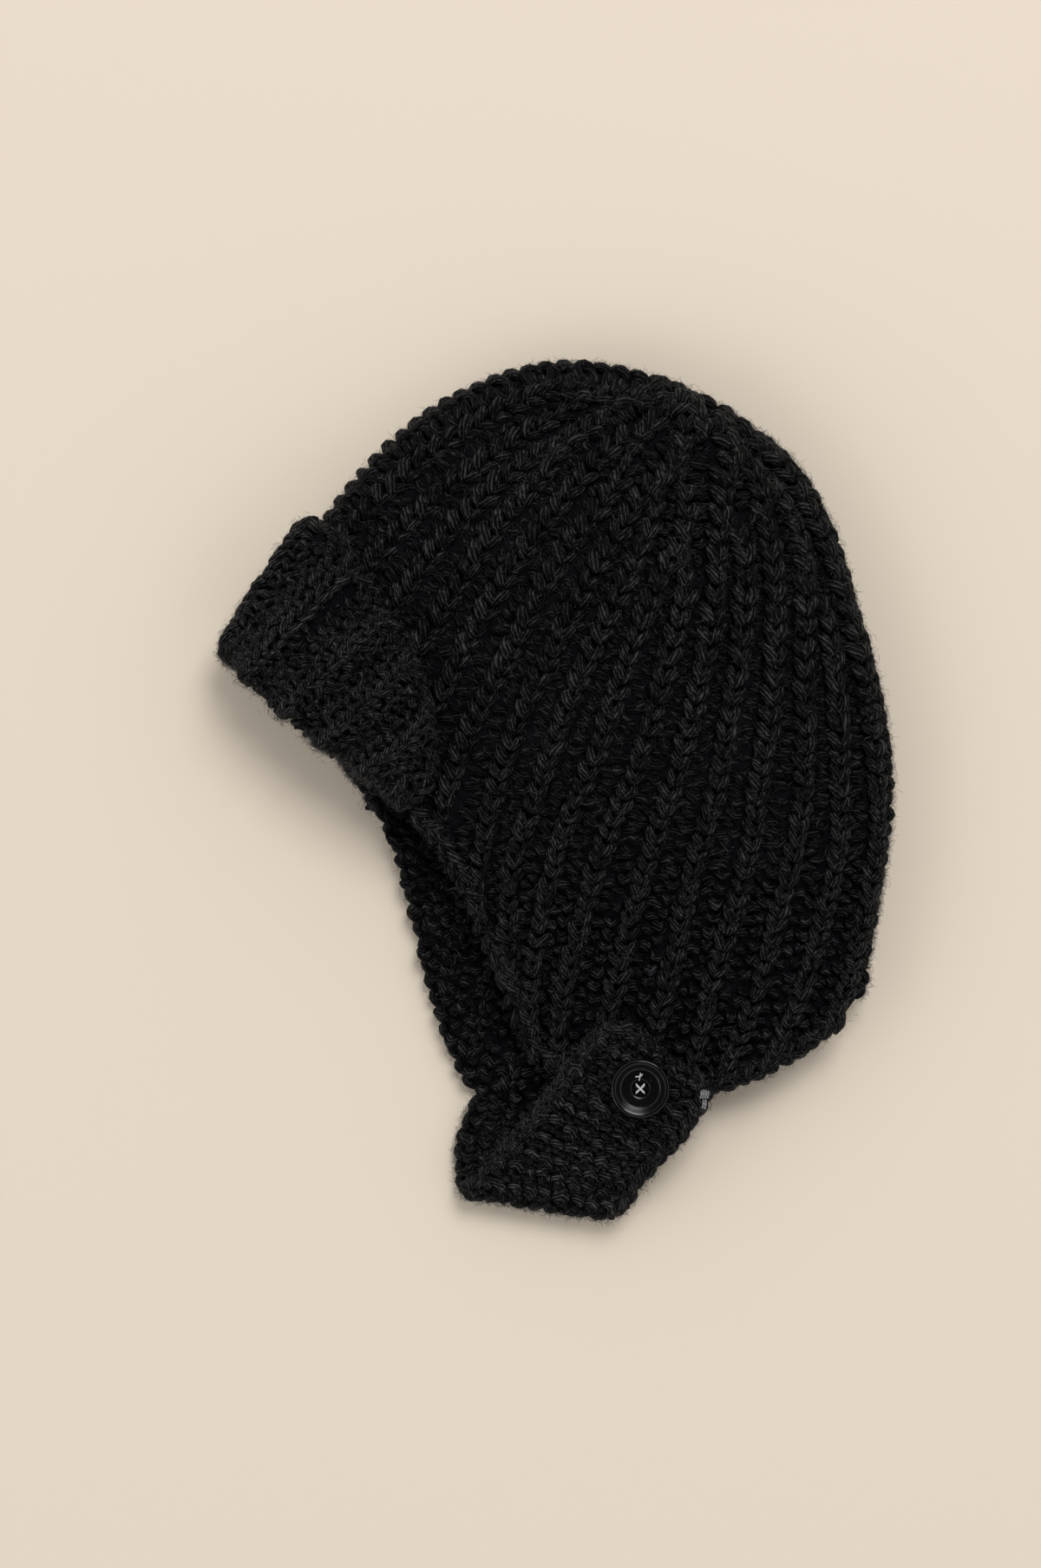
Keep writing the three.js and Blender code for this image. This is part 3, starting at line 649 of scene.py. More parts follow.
def line_at(rib, height, wide):
    """A line straight up the crown at one place round the head."""
    return height, np.full(len(height), rib), np.full(len(height), wide)


near_parts, far_parts, inner_parts = [], [], []
for rib in range(RIBS):
    (near_parts if rib <= 16 else far_parts).extend(braid(column(rib), YARN - 0.15))
# Narrower braids fill the folds at the back and the front of the head, and six more the crown top.
fold = np.linspace(0.0, 0.93, 200)
near_parts.extend(braid(line_at(RIBS / 2, fold, 9.0), 2.6, full=0.8))
near_parts.extend(braid(line_at(RIBS / 2 + 0.1, fold, 9.0), 2.6, full=0.8, start=0.0))
near_parts.extend(braid(line_at(-0.1, fold[40:190], 9.0), 2.5, full=0.8, start=0.0))
for sixth in range(6):
    cap = line_at(sixth * 5.5 + 0.25, np.linspace(0.93, 0.992, 40), 11.0)
    (near_parts if sixth <= 2 else far_parts).extend(braid(cap, YARN - 0.3))
# The inside of the far ear flap shows through the face opening.
for rib in np.arange(20.5, 28, 1):
    inside = line_at(rib, np.linspace(0.01, 0.42, 100), 12.0)
    inner_parts.extend(braid(inside, KNIT - 0.1, inward=True, full=1.05))
near_ribs = lay_stitches("crown_ribs_near", leg_pair("near leg", 9, rib_wool), together(near_parts))
far_ribs = lay_stitches("crown_ribs_far", leg_pair("far leg", 7, rib_wool), together(far_parts + inner_parts))

# Purl columns: the valleys between the ribs, where each row shows as two short arches of yarn side by side.
PURL_STATIONS = [
    (-1.9, -0.75, -1.8, 1.0), (-1.3, -0.1, -0.45, 1.35), (0.0, 0.35, 0.3, 1.52),
    (1.3, -0.1, -0.45, 1.35), (1.9, -0.75, -1.8, 1.0),
]


def purl_arches(name, sides, material, stations=PURL_STATIONS):
    """The upper and the lower arch of a purl stitch."""
    halves = {"upper": stations, "lower": [(-x, -y, z, r) for x, y, z, r in stations]}
    return [yarn_piece(f"{name} {half}", line, sides, material) for half, line in halves.items()]


def purl_column(line, depth, sunk, inward=False):
    """Arches along one valley, by turns upper and lower ones."""
    height, middle, wide = line
    flip = -1 if inward else 1
    parts = []
    for kind, half in ((0, -1), (1, 1)):
        t = rows_along(crown_surface(middle, height), height, 0.25 + 0.5 * kind)
        s = np.interp(t, height, middle)
        points = crown_surface(s, t)
        tall = row_pitch(points) / ROW
        loose = jumbled(points)
        room = np.clip(np.interp(t, height, wide) - (LEG_APART + 3.6) * tall, 1.0, 8.0)
        place, across, up, out = crown_frame(*beside(s, t, half * (0.1 + 0.17 * loose) * room))
        from_fold = np.abs((s + RIBS / 4) % (RIBS / 2) - RIBS / 4)
        sunken = sunk * (1 - loose) * (1 - ease(0.68, 0.85, t)) * (1 - np.exp(-(from_fold**2)))
        deep = depth + 0.5 * loose + sunken
        broad = np.clip((room * (1 - 0.6 * loose) + 1.4) / 5.2, 0.4, 1.4 + 0.6 * ease(0.6, 0.75, t))
        size = np.stack([broad, 0.85 + 0.25 * tall + 0.1 * loose, 0.95 + 0.2 * loose], 1)
        place = place - out * deep[:, None]
        # Painted shade: the arches deep in the valleys above the hem are darker, and those that rise to the
        # face by the hem are paler.
        shade = (0.25 * loose, 0.25 + 0.5 * loose)
        parts.append(laid_out(kind, place, across * flip, up, out * flip, size, (0.35, 13.0, 0.1), shade))
    return parts


purl_parts = []
for valley in np.arange(0.5, RIBS, 1):
    if valley != RIBS / 2:
        purl_parts.extend(purl_column(valley_line(valley), 1.85, 1.6))
for rib in np.arange(20, 28.5, 1):
    for beside_it in (-0.19, 0.19):
        inside = line_at(rib + beside_it, np.linspace(0.0, 0.42, 200), 12.5)
        purl_parts.extend(purl_column(inside, KNIT - 0.1, 0.0, inward=True))
valleys = lay_stitches("crown_valleys", purl_arches("valley purl", 7, shaded_wool), together(purl_parts))

for piece in (crown_fabric, near_ribs, far_ribs, valleys):
    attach(piece, "root")
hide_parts("crown")

# Brow cuff
# The brow's knitting turned up over the hem and laid back on the crown, so that its knobbly wrong side
# shows. It lies in its own wider folds and runs out at the temples.
CUFF_NOSE = 5.4  # how far the turned edge stands out past the hem
CUFF_VALLEY = 3.0  # depth between its folds
CREST_ROW, HOLLOW_ROW = 4.0, 3.8  # heights of the rows on its crests and in its hollows
CUFF_FOLDS = [
    dict(fold=0, hem_rib=0, edge_rib=0, edge=0.21),
    dict(fold=0.5, hem_rib=0.35, edge_rib=0.85, edge=0.232),
    dict(fold=1.5, hem_rib=1.8, edge_rib=2.45, edge=0.215),
    dict(fold=2.5, hem_rib=3.2, edge_rib=3.55, edge=0.205),
    dict(fold=3.5, hem_rib=4.2, edge_rib=4.6, edge=0.17),
    dict(fold=4.5, hem_rib=5.0, edge_rib=5.4, edge=0.11),
    dict(fold=5.2, hem_rib=5.5, edge_rib=5.65, edge=0.05),
]


def cuff_taper(fold):
    """The cuff is thinner where it runs out."""
    return 1 - 0.55 * float(ease(CUFF_END - 1.2, CUFF_END, abs(fold)))


def cuff_section(fold, depth):
    """The cuff's face at one fold, from its free edge over the turned edge and in, depth under its skin."""
    side = -1 if fold < 0 else 1
    f = abs(fold)
    weights = spline_weights([row["fold"] for row in CUFF_FOLDS], [f])[0]
    keys = ("hem_rib", "edge_rib", "edge")
    hem_rib, edge_rib, edge = (weights @ [row[key] for row in CUFF_FOLDS] for key in keys)
    taper = cuff_taper(f)
    thick = CUFF_KNIT * taper
    groove = CUFF_VALLEY * (0.5 - 0.5 * math.cos(2 * math.pi * f)) ** 1.3 * taper
    u = np.linspace(1.04, 0.1, 8)
    place, _, _, out = crown_frame(side * (hem_rib + (edge_rib - hem_rib) * u), edge * u)
    face = place + out * (CUFF_GAP + thick - groove - depth)
    hem, _, _, hem_out = crown_frame(np.array([side * hem_rib]), np.array([0.0]))
    below = crown_surface(np.array([side * (hem_rib + (edge_rib - hem_rib) * 0.12)]), np.array([edge * 0.12]))
    away = unit(hem - below)[0]
    nose = CUFF_NOSE * float(1 - ease(0.3, CUFF_END, f))
    rounded = []
    for angle in np.linspace(0, math.pi, 8):
        middle, half = (thick - KNIT) / 2 + CUFF_GAP / 2, (thick + KNIT) / 2 + CUFF_GAP / 2
        lies = middle + (half - depth) * math.cos(angle) - groove * 0.5 * (1 + math.cos(angle))
        reach = 1.1 + CUFF_GAP + max(nose - depth, 0.2) * math.sin(angle)
        reach -= depth * 0.3 if nose < depth else 0
        rounded.append(hem[0] + hem_out[0] * lies + away * reach)
    return np.concatenate([face, rounded])


def run_lengths(points):
    """Distance along a line to each of its points."""
    return np.r_[0, np.cumsum(np.linalg.norm(np.diff(points, axis=0), axis=1))]


def along_section(points, at):
    """Points at the given shares of a line's length."""
    length = run_lengths(points)
    where = np.asarray(at) * length[-1]
    return np.stack([np.interp(where, length, points[:, k]) for k in range(3)], 1), length[-1]


cuff_rings = []
for fold in np.arange(-CUFF_END, CUFF_END + 0.01, 0.1):
    skin = cuff_section(fold, 2.6)
    lining = cuff_section(fold, min(CUFF_KNIT * cuff_taper(fold), 4.2))[::-1]
    cuff_rings.append(np.concatenate([skin, lining]))
cuff_fabric = closed_fabric("cuff_fabric", cuff_rings, backing)

# Its painted glints are paler than on the crown.
cuff_wool = wool("charcoal wool, wrong side", DEEP_WOOL, grey(0.063), 0.0007, 0.05)
cuff_parts = []


def cuff_line(fold, depth, rows_apart, offset):
    """Stitch places down one line of the cuff, from its free edge over the turned edge."""
    skin = cuff_section(fold, depth)
    neighbour = cuff_section(fold + 0.06, depth)
    _, length = along_section(skin, [0])
    rows = int(round(length / rows_apart))
    share = (np.arange(rows) + offset) / rows
    place, _ = along_section(skin, share)
    ahead, _ = along_section(skin, np.minimum(share + 0.02, 1))
    behind, _ = along_section(skin, np.maximum(share - 0.02, 0))
    next_to, _ = along_section(neighbour, share)
    up = unit(behind - ahead)
    across = unit(next_to - place)
    out = unit(np.cross(across, up))
    return place, unit(np.cross(up, out)), up, out, np.linalg.norm(next_to - place, axis=1) / 0.06, rows


# A slim braid on each crest, and more of them side by side where the brow is folded.
CREST_LINES = [(crest, 0.35) for crest in range(-5, 6)]
CREST_LINES += [(-0.3, 0.35), (-0.06, 0.85), (-0.15, 0.6), (-0.22, 0.1)]
for crest, start in CREST_LINES:
    full = 0.75 if -0.5 < crest < 0.5 else 0.68 if crest == 1 else 0.6
    depth = 0.1 if crest == 1 else 0.5
    for side in (-1, 1):
        place, across, up, out, _, rows = cuff_line(crest + side * 0.11 * full, depth, CREST_ROW, start)
        size = np.stack([np.full(rows, full), np.full(rows, 0.8), np.full(rows, full)], 1)
        tilt = unit(out + across * side * 0.3)
        kind = 2 + (side > 0)
        # Painted light: the stitches on the crests are paler than those in the hollows.
        cuff_parts.append(laid_out(kind, place, np.cross(up, tilt), up, tilt, size,
                                   (0.25, 7.0, 0.1), (0.35, 1.0)))
# Knobbly purl arches (0 and 1) with a few loose legs (2 and 3) in each hollow, and one deep crease
# on the near side.
HOLLOW_LINES = ((0, -0.33), (3, -0.2), (1, -0.1), (0, 0.0), (1, 0.1), (2, 0.2), (0, 0.33))
for hollow in np.arange(-4.5, 5, 1):
    for kind, shift in HOLLOW_LINES:
        low = 1 - abs(shift) / 0.33
        crease = 2.6 if hollow == 1.5 and shift < -0.15 else 0.0
        start = 0.5 + 0.5 * kind + shift
        depth = 1.7 - 0.3 * (kind > 1)
        place, across, up, out, gap, rows = cuff_line(hollow + shift, depth, HOLLOW_ROW, start)
        place = place - out * (crease * (1 - ease(0.3, 0.5, np.arange(rows) / rows)))[:, None]
        size = np.stack([np.clip(gap * 0.15 / 3.4, 0.5, 0.85), np.full(rows, 1.0), np.full(rows, 0.95)], 1)
        size = size if kind < 2 else np.full((rows, 3), [0.62, 0.74, 0.62])
        # Painted shade: the arches and legs are darker towards the middle of each hollow.
        shade = (0.35 - 0.3 * low, 1.0 - 0.4 * low)
        cuff_parts.append(laid_out(kind, place, across, up, out, size, (0.4, 20.0, 0.12), shade))
cuff_kinds = purl_arches("cuff purl", 7, cuff_wool) + leg_pair("cuff leg", 8, cuff_wool)
cuff_stitches = lay_stitches("cuff_stitches", cuff_kinds, together(cuff_parts))
for piece in (cuff_fabric, cuff_stitches):
    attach(piece, "root")
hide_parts("front_cuff")

# Chin strap
# A band in garter stitch, knitted on from the far ear flap, turned back at the chin and laid over the near
# flap, where the button holds it. Every second row stands up as a ridge of small arches.
STRAP_KNIT = 4.8  # thickness of the strap
RIDGE_PITCH = 5.6  # from one ridge to the next
GARTER_STITCH = 4.9  # width of a stitch
# Both edges, from the far flap round the turn at the chin to the point: bow curves a row, z is its height.
STRAP_ROWS = [
    dict(left=(-25.6, -97.4), right=(13.4, -107), bow=1, z=2.75),
    dict(left=(-28.6, -106), right=(14.5, -115), bow=1, z=2.75),
    dict(left=(-30.4, -115), right=(15.5, -123.5), bow=0, z=2.75),
    dict(left=(-30.4, -123.4), right=(16.5, -131.2), bow=0, z=3.2),
    dict(left=(-29.2, -125.8), right=(18.2, -133.6), bow=0, z=5.6),
    dict(left=(-26.6, -124.2), right=(20.6, -132.6), bow=0, z=8.2),
    dict(left=(-20, -117), right=(23.5, -129.5), bow=0, z=9),
    dict(left=(-10, -106), right=(28, -122.6), bow=0, z=10.4),
    dict(left=(-0.5, -93.2), right=(34.5, -115.2), bow=0, z=13),
    dict(left=(6.5, -83.6), right=(41.4, -107.4), bow=0, z=14.8),
    dict(left=(13.2, -76.2), right=(46.4, -99.6), bow=0, z=16),
    dict(left=(21, -74.6), right=(46, -93.2), bow=0, z=16.4),
    dict(left=(28.5, -77.2), right=(41.6, -87.6), bow=0, z=16.6),
]
TURN = 4  # the row that lies at the turn
strap_lefts = np.array([[*row["left"], row["z"]] for row in STRAP_ROWS], float)
strap_rights = np.array([[*row["right"], row["z"]] for row in STRAP_ROWS], float)
strap_lengths = run_lengths((strap_lefts + strap_rights) / 2)
STRAP_LENGTH = strap_lengths[-1]


def strap_frame(d, w):
    """Middle plane of the strap at length d and share w of its width: place, across, along, up and width."""
    d, w = np.broadcast_arrays(np.atleast_1d(np.asarray(d, float)), np.asarray(w, float))

    def edges(at):
        weights = spline_weights(strap_lengths, np.clip(at, 0, STRAP_LENGTH))
        return weights @ strap_lefts, weights @ strap_rights, weights @ [row["bow"] for row in STRAP_ROWS]

    left, right, bow = edges(d)
    left0, right0, _ = edges(d - 0.6)
    left1, right1, _ = edges(d + 0.6)
    along = unit(left1 + right1 - left0 - right0)
    across = unit(right - left)
    up = unit(np.cross(across, along))
    place = (left + right) / 2 + (right - left) * w[:, None] + along * (bow * (1 - 4 * w * w))[:, None]
    return place, across, along, up, np.linalg.norm(right - left, axis=1)


strap_rings = []
for d in np.linspace(0.3, STRAP_LENGTH - 0.3, 90):
    w = np.array([-0.485, -0.46, -0.4, -0.2, 0, 0.2, 0.4, 0.46, 0.485, 0.46, 0.4, 0.2, 0, -0.2, -0.4, -0.46])
    h = np.array([0, 0.7, 1, 1, 1, 1, 1, 0.7, 0, -0.7, -1, -1, -1, -1, -1, -0.7])
    place, _, _, up, _ = strap_frame(np.full(16, d), w)
    strap_rings.append(place + up * (h * (STRAP_KNIT / 2 - 1.5))[:, None])
strap_fabric = closed_fabric("strap_fabric", strap_rings, backing)

# Its painted glints are paler than on the crown and the cuff.
strap_wool = wool("charcoal wool, garter stitch", DEEP_WOOL, grey(0.070), 0.0006, 0.05)
GARTER_STATIONS = [
    (-1.7, -1.0, -1.8, 0.95), (-1.15, -0.2, -0.4, 1.25), (0.0, 0.4, 0.45, 1.45),
    (1.15, -0.2, -0.4, 1.25), (1.7, -1.0, -1.8, 0.95),
]
strap_parts = []
ridges = int(round(STRAP_LENGTH / RIDGE_PITCH))
for ridge in range(ridges):
    for kind in (0, 1):
        for face in (1, -1):
            stagger = 0.22 if kind else -0.22
            d = (ridge + 0.5 + stagger) * STRAP_LENGTH / ridges
            width = float(strap_frame([d], [0])[4][0])
            count = max(int(round((width - 3) / GARTER_STITCH)), 2)
            w = ((np.arange(count) + 0.5 + stagger) / count - 0.5) * (width - 3.4) / width
            place, across, along, up, _ = strap_frame(np.full(count, d), w)
            place = place + up * face * (STRAP_KNIT / 2 - (2.6 if kind else 0.9))
            size = np.full((count, 3), [width / count / 4.3, 0.95 if kind else 1.2, 1.15])
            # Painted shade and shadow: the sunken arches between the ridges are darker, and so is all of the
            # strap before the turn, which lies under its upper layer.
            shade = (0.0, 0.3) if kind or d < strap_lengths[TURN] - 4 else (0.4, 1.0)
            strap_parts.append(laid_out(kind, place, across * face, along, up * face, size,
                                        (0.28, 9.0, 0.1), shade))
garter_kinds = purl_arches("garter", 8, strap_wool, GARTER_STATIONS)
strap_stitches = lay_stitches("strap_stitches", garter_kinds, together(strap_parts))
for piece in (strap_fabric, strap_stitches):
    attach(piece, "root")
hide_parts("chin_strap")

# Edges
# Along the hem of both ear flaps and the neck, the free edge of the cuff and both sides of the strap, the
# first stitch of every row was slipped, which leaves a rolled edge of long stitches in a chain.


def chain(points, outs, pitch, full, loose, shade=(0.0, 1.0)):
    """A chain of stitches along a line: two long legs to each link, side by side over the edge."""
    length = run_lengths(points)

    def read(values, where):
        return np.stack([np.interp(where, length, values[:, k]) for k in range(3)], 1)

    links = max(int(round(length[-1] / pitch)), 1)
    at = (np.arange(links) + 0.5) * length[-1] / links
    along = unit(read(points, at + 1.5) - read(points, at - 1.5))
    out = read(outs, at)
    out = unit(out - (out * along).sum(1, keepdims=True) * along)
    across = np.cross(along, out)
    size = np.full((links, 3), [full, length[-1] / links / ROW, full])
    parts = []
    for side in (-1, 1):
        place = read(points, at + side * 0.2 * pitch) + across * side * 1.7 * full
        tilt = unit(out + across * side * 0.35)
        kind = 1 if side > 0 else 0
        parts.append(laid_out(kind, place, np.cross(along, tilt), along, tilt, size, loose, shade))
    return parts


edge_parts = []
HEM_RUNS = ((5.5, 11, 6.2, 0.85), (11, 16.1, 4.8, 0.74), (16.9, 22, 4.8, 0.74), (22, 27.5, 5.6, 0.8))
for start, end, pitch, full in HEM_RUNS:
    s = np.linspace(start, end, 160)
    hem, _, up, out = crown_frame(s, np.zeros(160))
    line = hem + up * 0.3 - out * 2.1
    edge_parts.extend(chain(line, unit(out * 0.8 - up * 0.6), pitch, full, (0.25, 7.0, 0.08)))
for w in (-0.475, 0.475):
    d = np.linspace(0.5, STRAP_LENGTH - 1, 160)
    place, across, _, up, _ = strap_frame(d, np.full(160, w))
    outwards = unit(up * 0.8 + across * math.copysign(0.6, w))
    # Painted highlight: the chains along the strap's sides are paler than the rest of the strap.
    edge_parts.extend(chain(place + up * 1.2, outwards, 5.2, 0.7, (0.2, 6.0, 0.08), (0.7, 1.4)))
# Round the strap's turn at the chin.
w = np.linspace(-0.46, 0.46, 60)
place = strap_frame(np.full(60, strap_lengths[TURN]), w)[0]
outwards = unit(np.cross(unit(place[-1:] - place[:1]), [[0.0, 0.0, 1.0]]))
edge_parts.extend(chain(place + outwards * 1.9, np.repeat(outwards, 60, 0), 5.0, 0.72, (0.3, 8.0, 0.1)))
for first, last in ((0.35, 5.0), (-5.0, -0.35)):
    folds = np.linspace(first, last, 80)
    rim = np.array([cuff_section(fold, 1.4)[0] for fold in folds])
    inside = np.array([cuff_section(fold, 3.0)[0] for fold in folds])
    edge_parts.extend(chain(rim, unit(rim - inside), 4.6, 0.58, (0.25, 9.0, 0.1)))
edges = lay_stitches("flap_and_strap_edges", leg_pair("edge leg", 9, rib_wool), together(edge_parts))
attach(edges, "root")

# Button
# A turned black coat button, polished, with a raised rim, a dished face and four holes.
BUTTON_X, BUTTON_Y = 26.3, -93.7
BUTTON_SEAT = 18.45  # height of its underside, on the strap
HOLE_REACH = 1.75  # from the middle of the button to the middle of each hole
# Radius and height, from the middle of the underside round the rim to the middle of the face.
BUTTON_PROFILE = [
    (0, 0), (6.6, 0), (8.4, 0.3), (9.0, 0.8), (9.2, 1.5), (9.12, 2.05),
    (8.88, 2.42), (8.55, 2.58), (8.2, 2.54), (7.6, 2.27), (6.3, 2.0), (6.05, 1.82),
    (5.6, 1.72), (3.2, 1.6), (2.95, 1.48), (2.7, 1.4), (0, 1.35),
]
button_bm = bmesh.new()
profile_verts = [button_bm.verts.new((r, 0, z)) for r, z in BUTTON_PROFILE]
for pair in zip(profile_verts, profile_verts[1:]):
    button_bm.edges.new(pair)
bmesh.ops.bevel(button_bm, geom=profile_verts[2:-1], affect="VERTICES", offset=0.12, segments=2, profile=0.5,
                material=-1)
bmesh.ops.spin(button_bm, geom=button_bm.verts[:] + button_bm.edges[:], cent=(0, 0, 0), axis=(0, 0, 1),
               angle=math.tau, steps=96, use_merge=True, use_duplicate=False)
bmesh.ops.remove_doubles(button_bm, verts=button_bm.verts, dist=1e-4)
bmesh.ops.recalc_face_normals(button_bm, faces=button_bm.faces)
disc = set_in_scene("button_disc", mesh_of(button_bm, "button_disc"))
holes_bm = bmesh.new()
for k in range(4):
    angle = math.pi / 4 + k * math.pi / 2
    drill_at = (HOLE_REACH * math.cos(angle), HOLE_REACH * math.sin(angle), 0.6)
    bmesh.ops.create_cone(holes_bm, cap_ends=True, segments=28, radius1=0.95, radius2=1.02, depth=6,
                          matrix=Matrix.Translation(drill_at))
holes = set_in_scene("button_holes", mesh_of(holes_bm, "button_holes"))
drilled = disc.modifiers.new("holes", "BOOLEAN")
drilled.operation, drilled.solver, drilled.object = "DIFFERENCE", "EXACT", holes
bpy.context.view_layer.update()
button_mesh = bpy.data.meshes.new_from_object(disc.evaluated_get(bpy.context.evaluated_depsgraph_get()))
for made in (disc, holes):
    bpy.data.objects.remove(made)
button_seat = Matrix.Translation((BUTTON_X * MM, BUTTON_Y * MM, BUTTON_SEAT * MM))
button_mesh.transform(button_seat @ Matrix.Scale(MM, 4))
button_mesh.shade_smooth()
button_mesh.set_sharp_from_angle(angle=math.radians(38))
coat_button = set_in_scene("coat_button", button_mesh)

polished, polished_nodes, polished_shader = new_material("polished black button")
polished_place = add_node(polished_nodes, "ShaderNodeTexCoord").outputs["Object"]
polished_x, polished_y, _ = split(polished_nodes, polished_place)
polished_x = maths(polished_nodes, "SUBTRACT", polished_x, BUTTON_X * MM)
polished_y = maths(polished_nodes, "SUBTRACT", polished_y, BUTTON_Y * MM)
polished_reach = maths(polished_nodes, "ADD", maths(polished_nodes, "POWER", polished_x, 2.0),
                       maths(polished_nodes, "POWER", polished_y, 2.0))
polished_reach = maths(polished_nodes, "SQRT", polished_reach)
# The dished face is a little duller than the rim.
polished_dull = add_node(polished_nodes, "ShaderNodeMapRange")
feed(polished_nodes, polished_dull, Value=polished_reach, From_Min=8.25 * MM, From_Max=8.0 * MM,
     To_Min=0.03, To_Max=0.17)
polished_worn = maths(polished_nodes, "MULTIPLY", noise(polished_nodes, polished_place, 900.0, 2.0), 0.10)
polished_worn = maths(polished_nodes, "ADD", polished_dull.outputs[0], polished_worn)
feed(polished_nodes, polished_shader, Base_Color=(0.0020, 0.0021, 0.0025, 1), Roughness=polished_worn,
     Specular_IOR_Level=0.3)
coat_button.data.materials.clear()
coat_button.data.materials.append(polished)
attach(coat_button, "root")
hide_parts("button")

# Sewing thread
# Light grey sewing thread: crossed through the button's four holes, with its end hooked above the cross,
# and two short stitches of it in the strap's edge by the neck.


def sewing_thread(name, hollow, ridge):
    """Two-ply thread, paler on the plies than between them, where painted shade darkens it."""
    material, tree, shader = new_material(name)
    around, along, _ = split(tree, add_node(tree, "ShaderNodeUVMap", uv_map="yarn").outputs[0])
    twist = maths(tree, "MULTIPLY", around, math.tau * 2)
    twist = maths(tree, "ADD", twist, maths(tree, "MULTIPLY", along, 60.0))
    ply = maths(tree, "MULTIPLY", maths(tree, "ADD", maths(tree, "SINE", twist), 1.0), 0.5)
    feed(tree, shader, Base_Color=blend(tree, ply, hollow, ridge), Roughness=0.55, Sheen_Weight=0.3,
         Normal=relief(tree, ply, 0.00015, 0.8))
    return material


thread_grey = sewing_thread("light grey sewing thread", (0.30, 0.31, 0.32, 1), (0.72, 0.73, 0.74, 1))
# A darker copy of the same thread, for the tack by the neck.
darker_thread = sewing_thread("light grey sewing thread, darker", (0.05, 0.05, 0.052, 1), (0.24, 0.24, 0.245, 1))


def thread_run(name, corners, radius, steps=5):
    """Sewing thread through these corners, rounded between them."""
    corners = np.array(corners, float)
    knots = run_lengths(corners)
    at = np.linspace(0, knots[-1], steps * (len(corners) - 1) + 1)
    line = spline_weights(knots, at) @ corners
    return yarn_piece(name, [(*point, radius) for point in line], 10, thread_grey)


def as_one(name, parts, place, material=thread_grey):
    """Joins pieces of thread into one and sets it in its place."""
    bm = bmesh.new()
    for part in parts:
        bm.from_mesh(part.data)
        bpy.data.objects.remove(part)
    bmesh.ops.translate(bm, verts=bm.verts, vec=Vector(place) * MM)
    return set_in_scene(name, mesh_of(bm, name, material))


THREAD, TACK_THREAD = 0.2, 0.34  # half the thread's thickness, single and doubled
HOLE = HOLE_REACH * math.sqrt(0.5)
cross_parts = []
for side, height in ((1, 1.72), (-1, 2.1)):
    for offset in (-0.17, 0.17):
        corners = [
            (-HOLE, 0.2), (-HOLE, 1.3), (-HOLE * 0.6, height), (HOLE * 0.6, height), (HOLE, 1.3), (HOLE, 0.2),
        ]
        cross_parts.append(thread_run("strand", [(x, x * side + offset, z) for x, z in corners], THREAD))
for corners in (
    [(-0.3, 2.6, 1.5), (-0.25, 3.3, 1.9), (-0.05, 4.1, 2.0), (0.0, 4.9, 1.75)],
    [(-1.5, 3.7, 1.6), (-0.8, 3.8, 1.95), (0.0, 4.0, 2.25), (0.65, 4.5, 1.8)],
):
    cross_parts.append(thread_run("hooked end", corners, THREAD))
button_cross = as_one("sewing_thread", cross_parts, (BUTTON_X, BUTTON_Y, BUTTON_SEAT))
tack_parts = []
# Where each turn of the tack lies, and half its length.
TACK_TURNS = (
    (-1.1, 0.6, 1.05), (-0.4, 0.7, 1.15), (0.3, 0.6, 1.1), (1.0, 0.6, 0.9),
    (-0.5, -2.3, 1.2), (0.2, -2.4, 1.3),
)
for x, y, half in TACK_TURNS:
    corners = [
        (x - 0.15, y - half, -0.9), (x - 0.1, y - half * 0.7, 0.3),
        (x + 0.1, y + half * 0.6, 0.4), (x + 0.15, y + half, -0.8),
    ]
    tack_parts.append(thread_run("tack", corners, TACK_THREAD, 4))
thread_tack = as_one("sewn_tack", tack_parts, (46.4, -96.2, 19.6), darker_thread)
for piece, node in ((button_cross, "button_thread"), (thread_tack, "thread_tack")):
    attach(piece, "root")
    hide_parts(node)

# Stray fibres
# Fine ends of wool stand out of the yarn all over the knitting. Seen sideways, they make a soft fringe
# round its outline.
FIBRE_RADIUS, FIBRE_LENGTH = 0.055, 1.5
fibre_wool, fibre_nodes, fibre_shader = new_material("stray wool fibres")
fibre_shade = add_node(fibre_nodes, "ShaderNodeAttribute", attribute_name="shade").outputs["Fac"]
# Painted glints: a few fibres are far paler than the wool, and most stay dark.
fibre_tone = blend(fibre_nodes, fibre_shade, grey(0.003), (0.105, 0.102, 0.099, 1))
feed(fibre_nodes, fibre_shader, Base_Color=fibre_tone, Roughness=0.5, Specular_IOR_Level=0.3)


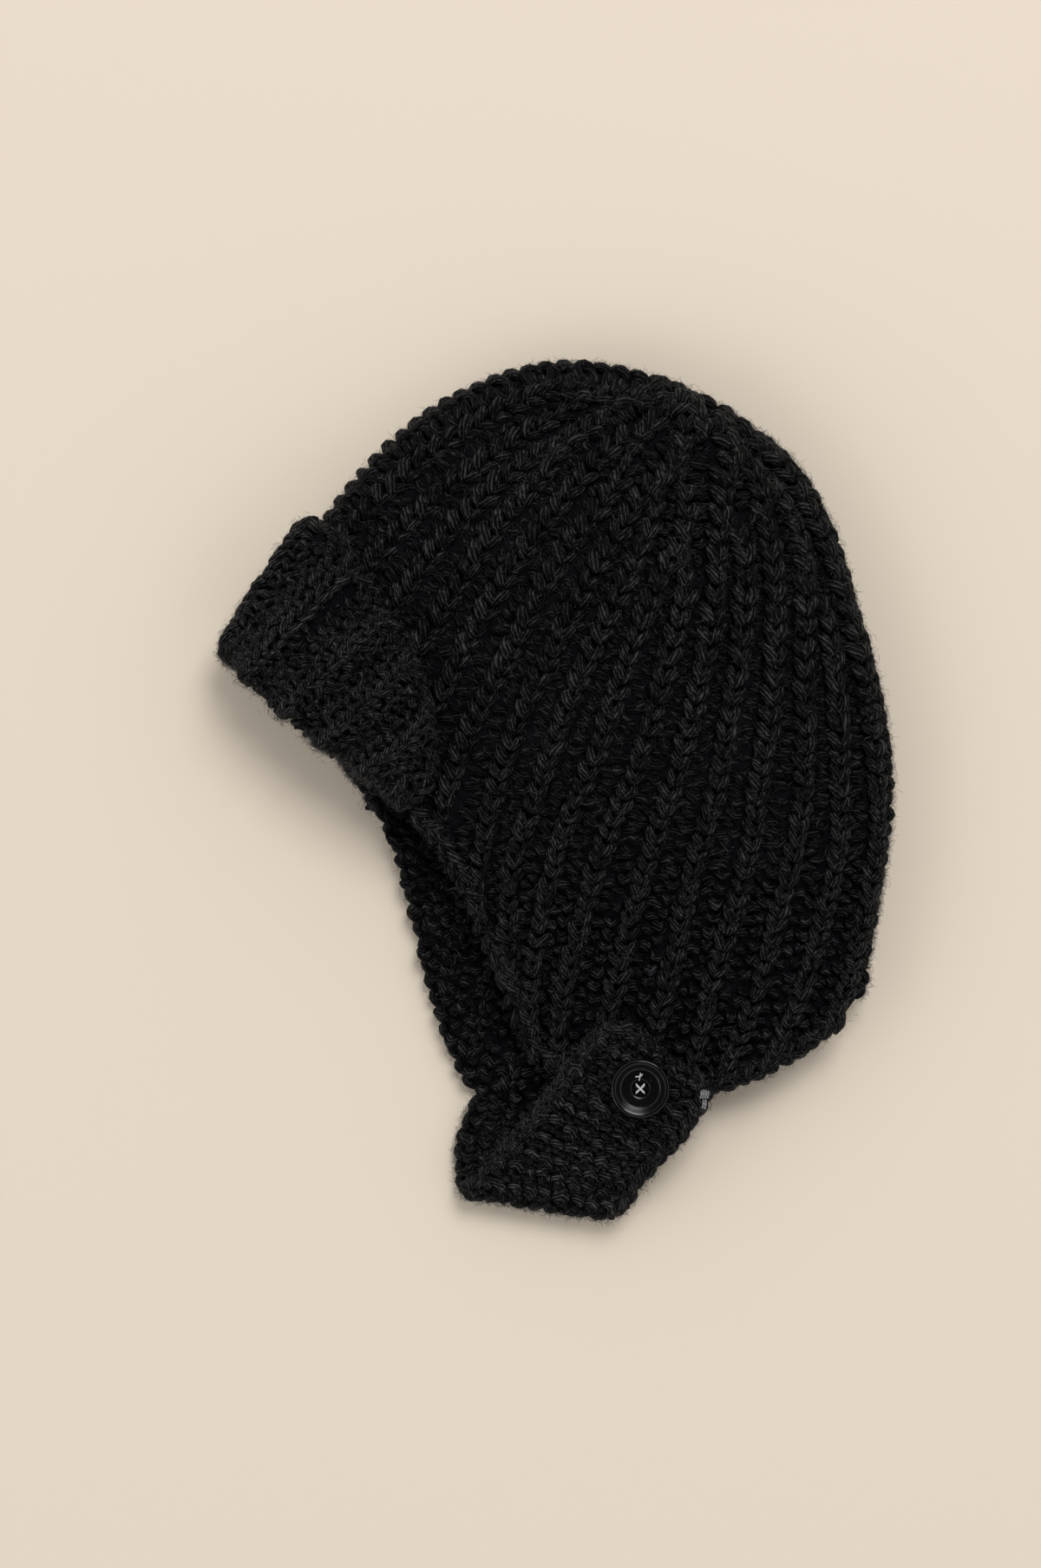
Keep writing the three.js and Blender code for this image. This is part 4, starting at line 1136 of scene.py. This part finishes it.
def fibre_kinds():
    """Three fine fibres, thickest in the middle and bent there."""
    kinds = []
    for bend in (0.25, 0.6, -0.4):
        bm = bmesh.new()
        bmesh.ops.create_cone(bm, segments=3, radius1=FIBRE_RADIUS, radius2=0, depth=FIBRE_LENGTH,
                              cap_ends=True)
        foot = [face for face in bm.faces if face.normal.z < -0.9]
        tip = bmesh.ops.poke(bm, faces=foot)["verts"]
        bmesh.ops.translate(bm, verts=tip, vec=(0, 0, -FIBRE_LENGTH))
        middle = [vert for vert in bm.verts if abs(vert.co.z + FIBRE_LENGTH / 2) < 0.1]
        bmesh.ops.translate(bm, verts=middle, vec=(bend, 0, 0))
        for face in bm.faces:
            face.smooth = True
        bmesh.ops.scale(bm, verts=bm.verts, vec=(MM, MM, MM))
        kinds.append(bpy.data.objects.new("fibre", mesh_of(bm, "fibre", fibre_wool)))
    return kinds


def fibres_from(roots, pick, stand, reach):
    """A fibre from each picked stitch. stand is how far it may turn outwards, and reach its length."""
    up, out = roots["y"][pick], roots["z"][pick]
    across = np.cross(up, out)
    spread = chance.normal(0, 1, (len(pick), 3)) * [0.9, 1.9, 0]
    height = chance.uniform(1.0, 2.3, (len(pick), 1))
    place = roots["place"][pick] + across * spread[:, :1] + up * spread[:, 1:2] + out * height
    lean = unit(chance.normal(0, 1, (len(pick), 3)) + up * 0.5 + out * chance.uniform(*stand, (len(pick), 1)))
    side = unit(np.cross(lean, chance.normal(0, 1, (len(pick), 3))))
    length = chance.uniform(*reach, len(pick))
    size = np.stack([length.clip(0.8, 1.2), np.ones(len(pick)), length], 1)
    return dict(kind=chance.integers(0, 3, len(pick)), place=place, x=np.cross(side, lean), y=side, z=lean,
                size=size, shade=chance.random(len(pick)) ** 2)


fibre_parts = []
# How many fibres each leg or arch of yarn has.
FIBRES_EACH = (
    (near_parts, 8.6), (far_parts, 3.0), (cuff_parts, 2.2),
    (strap_parts, 6.0), (edge_parts, 12.0), (purl_parts, 1.2),
)
FRINGE_FIBRES = 12000
for parts, each in FIBRES_EACH:
    roots = together(parts)
    total = len(roots["place"])
    pick = chance.integers(0, total, int(total * each))
    fibre_parts.append(fibres_from(roots, pick, stand=(-0.15, 0.55), reach=(0.55, 1.35)))
fibres = lay_stitches("stray_fibres", fibre_kinds(), together(fibre_parts))
fringe_roots = together(near_parts + far_parts + cuff_parts + strap_parts + edge_parts)
sideways = chance.choice(np.flatnonzero(np.abs(fringe_roots["z"][:, 2]) < 0.6), FRINGE_FIBRES)
fringe_laid = fibres_from(fringe_roots, sideways, stand=(0.6, 1.8), reach=(0.7, 1.5))
fringe = lay_stitches("outline_fibres", fibre_kinds(), fringe_laid)
for piece in (fibres, fringe):
    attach(piece, "root")
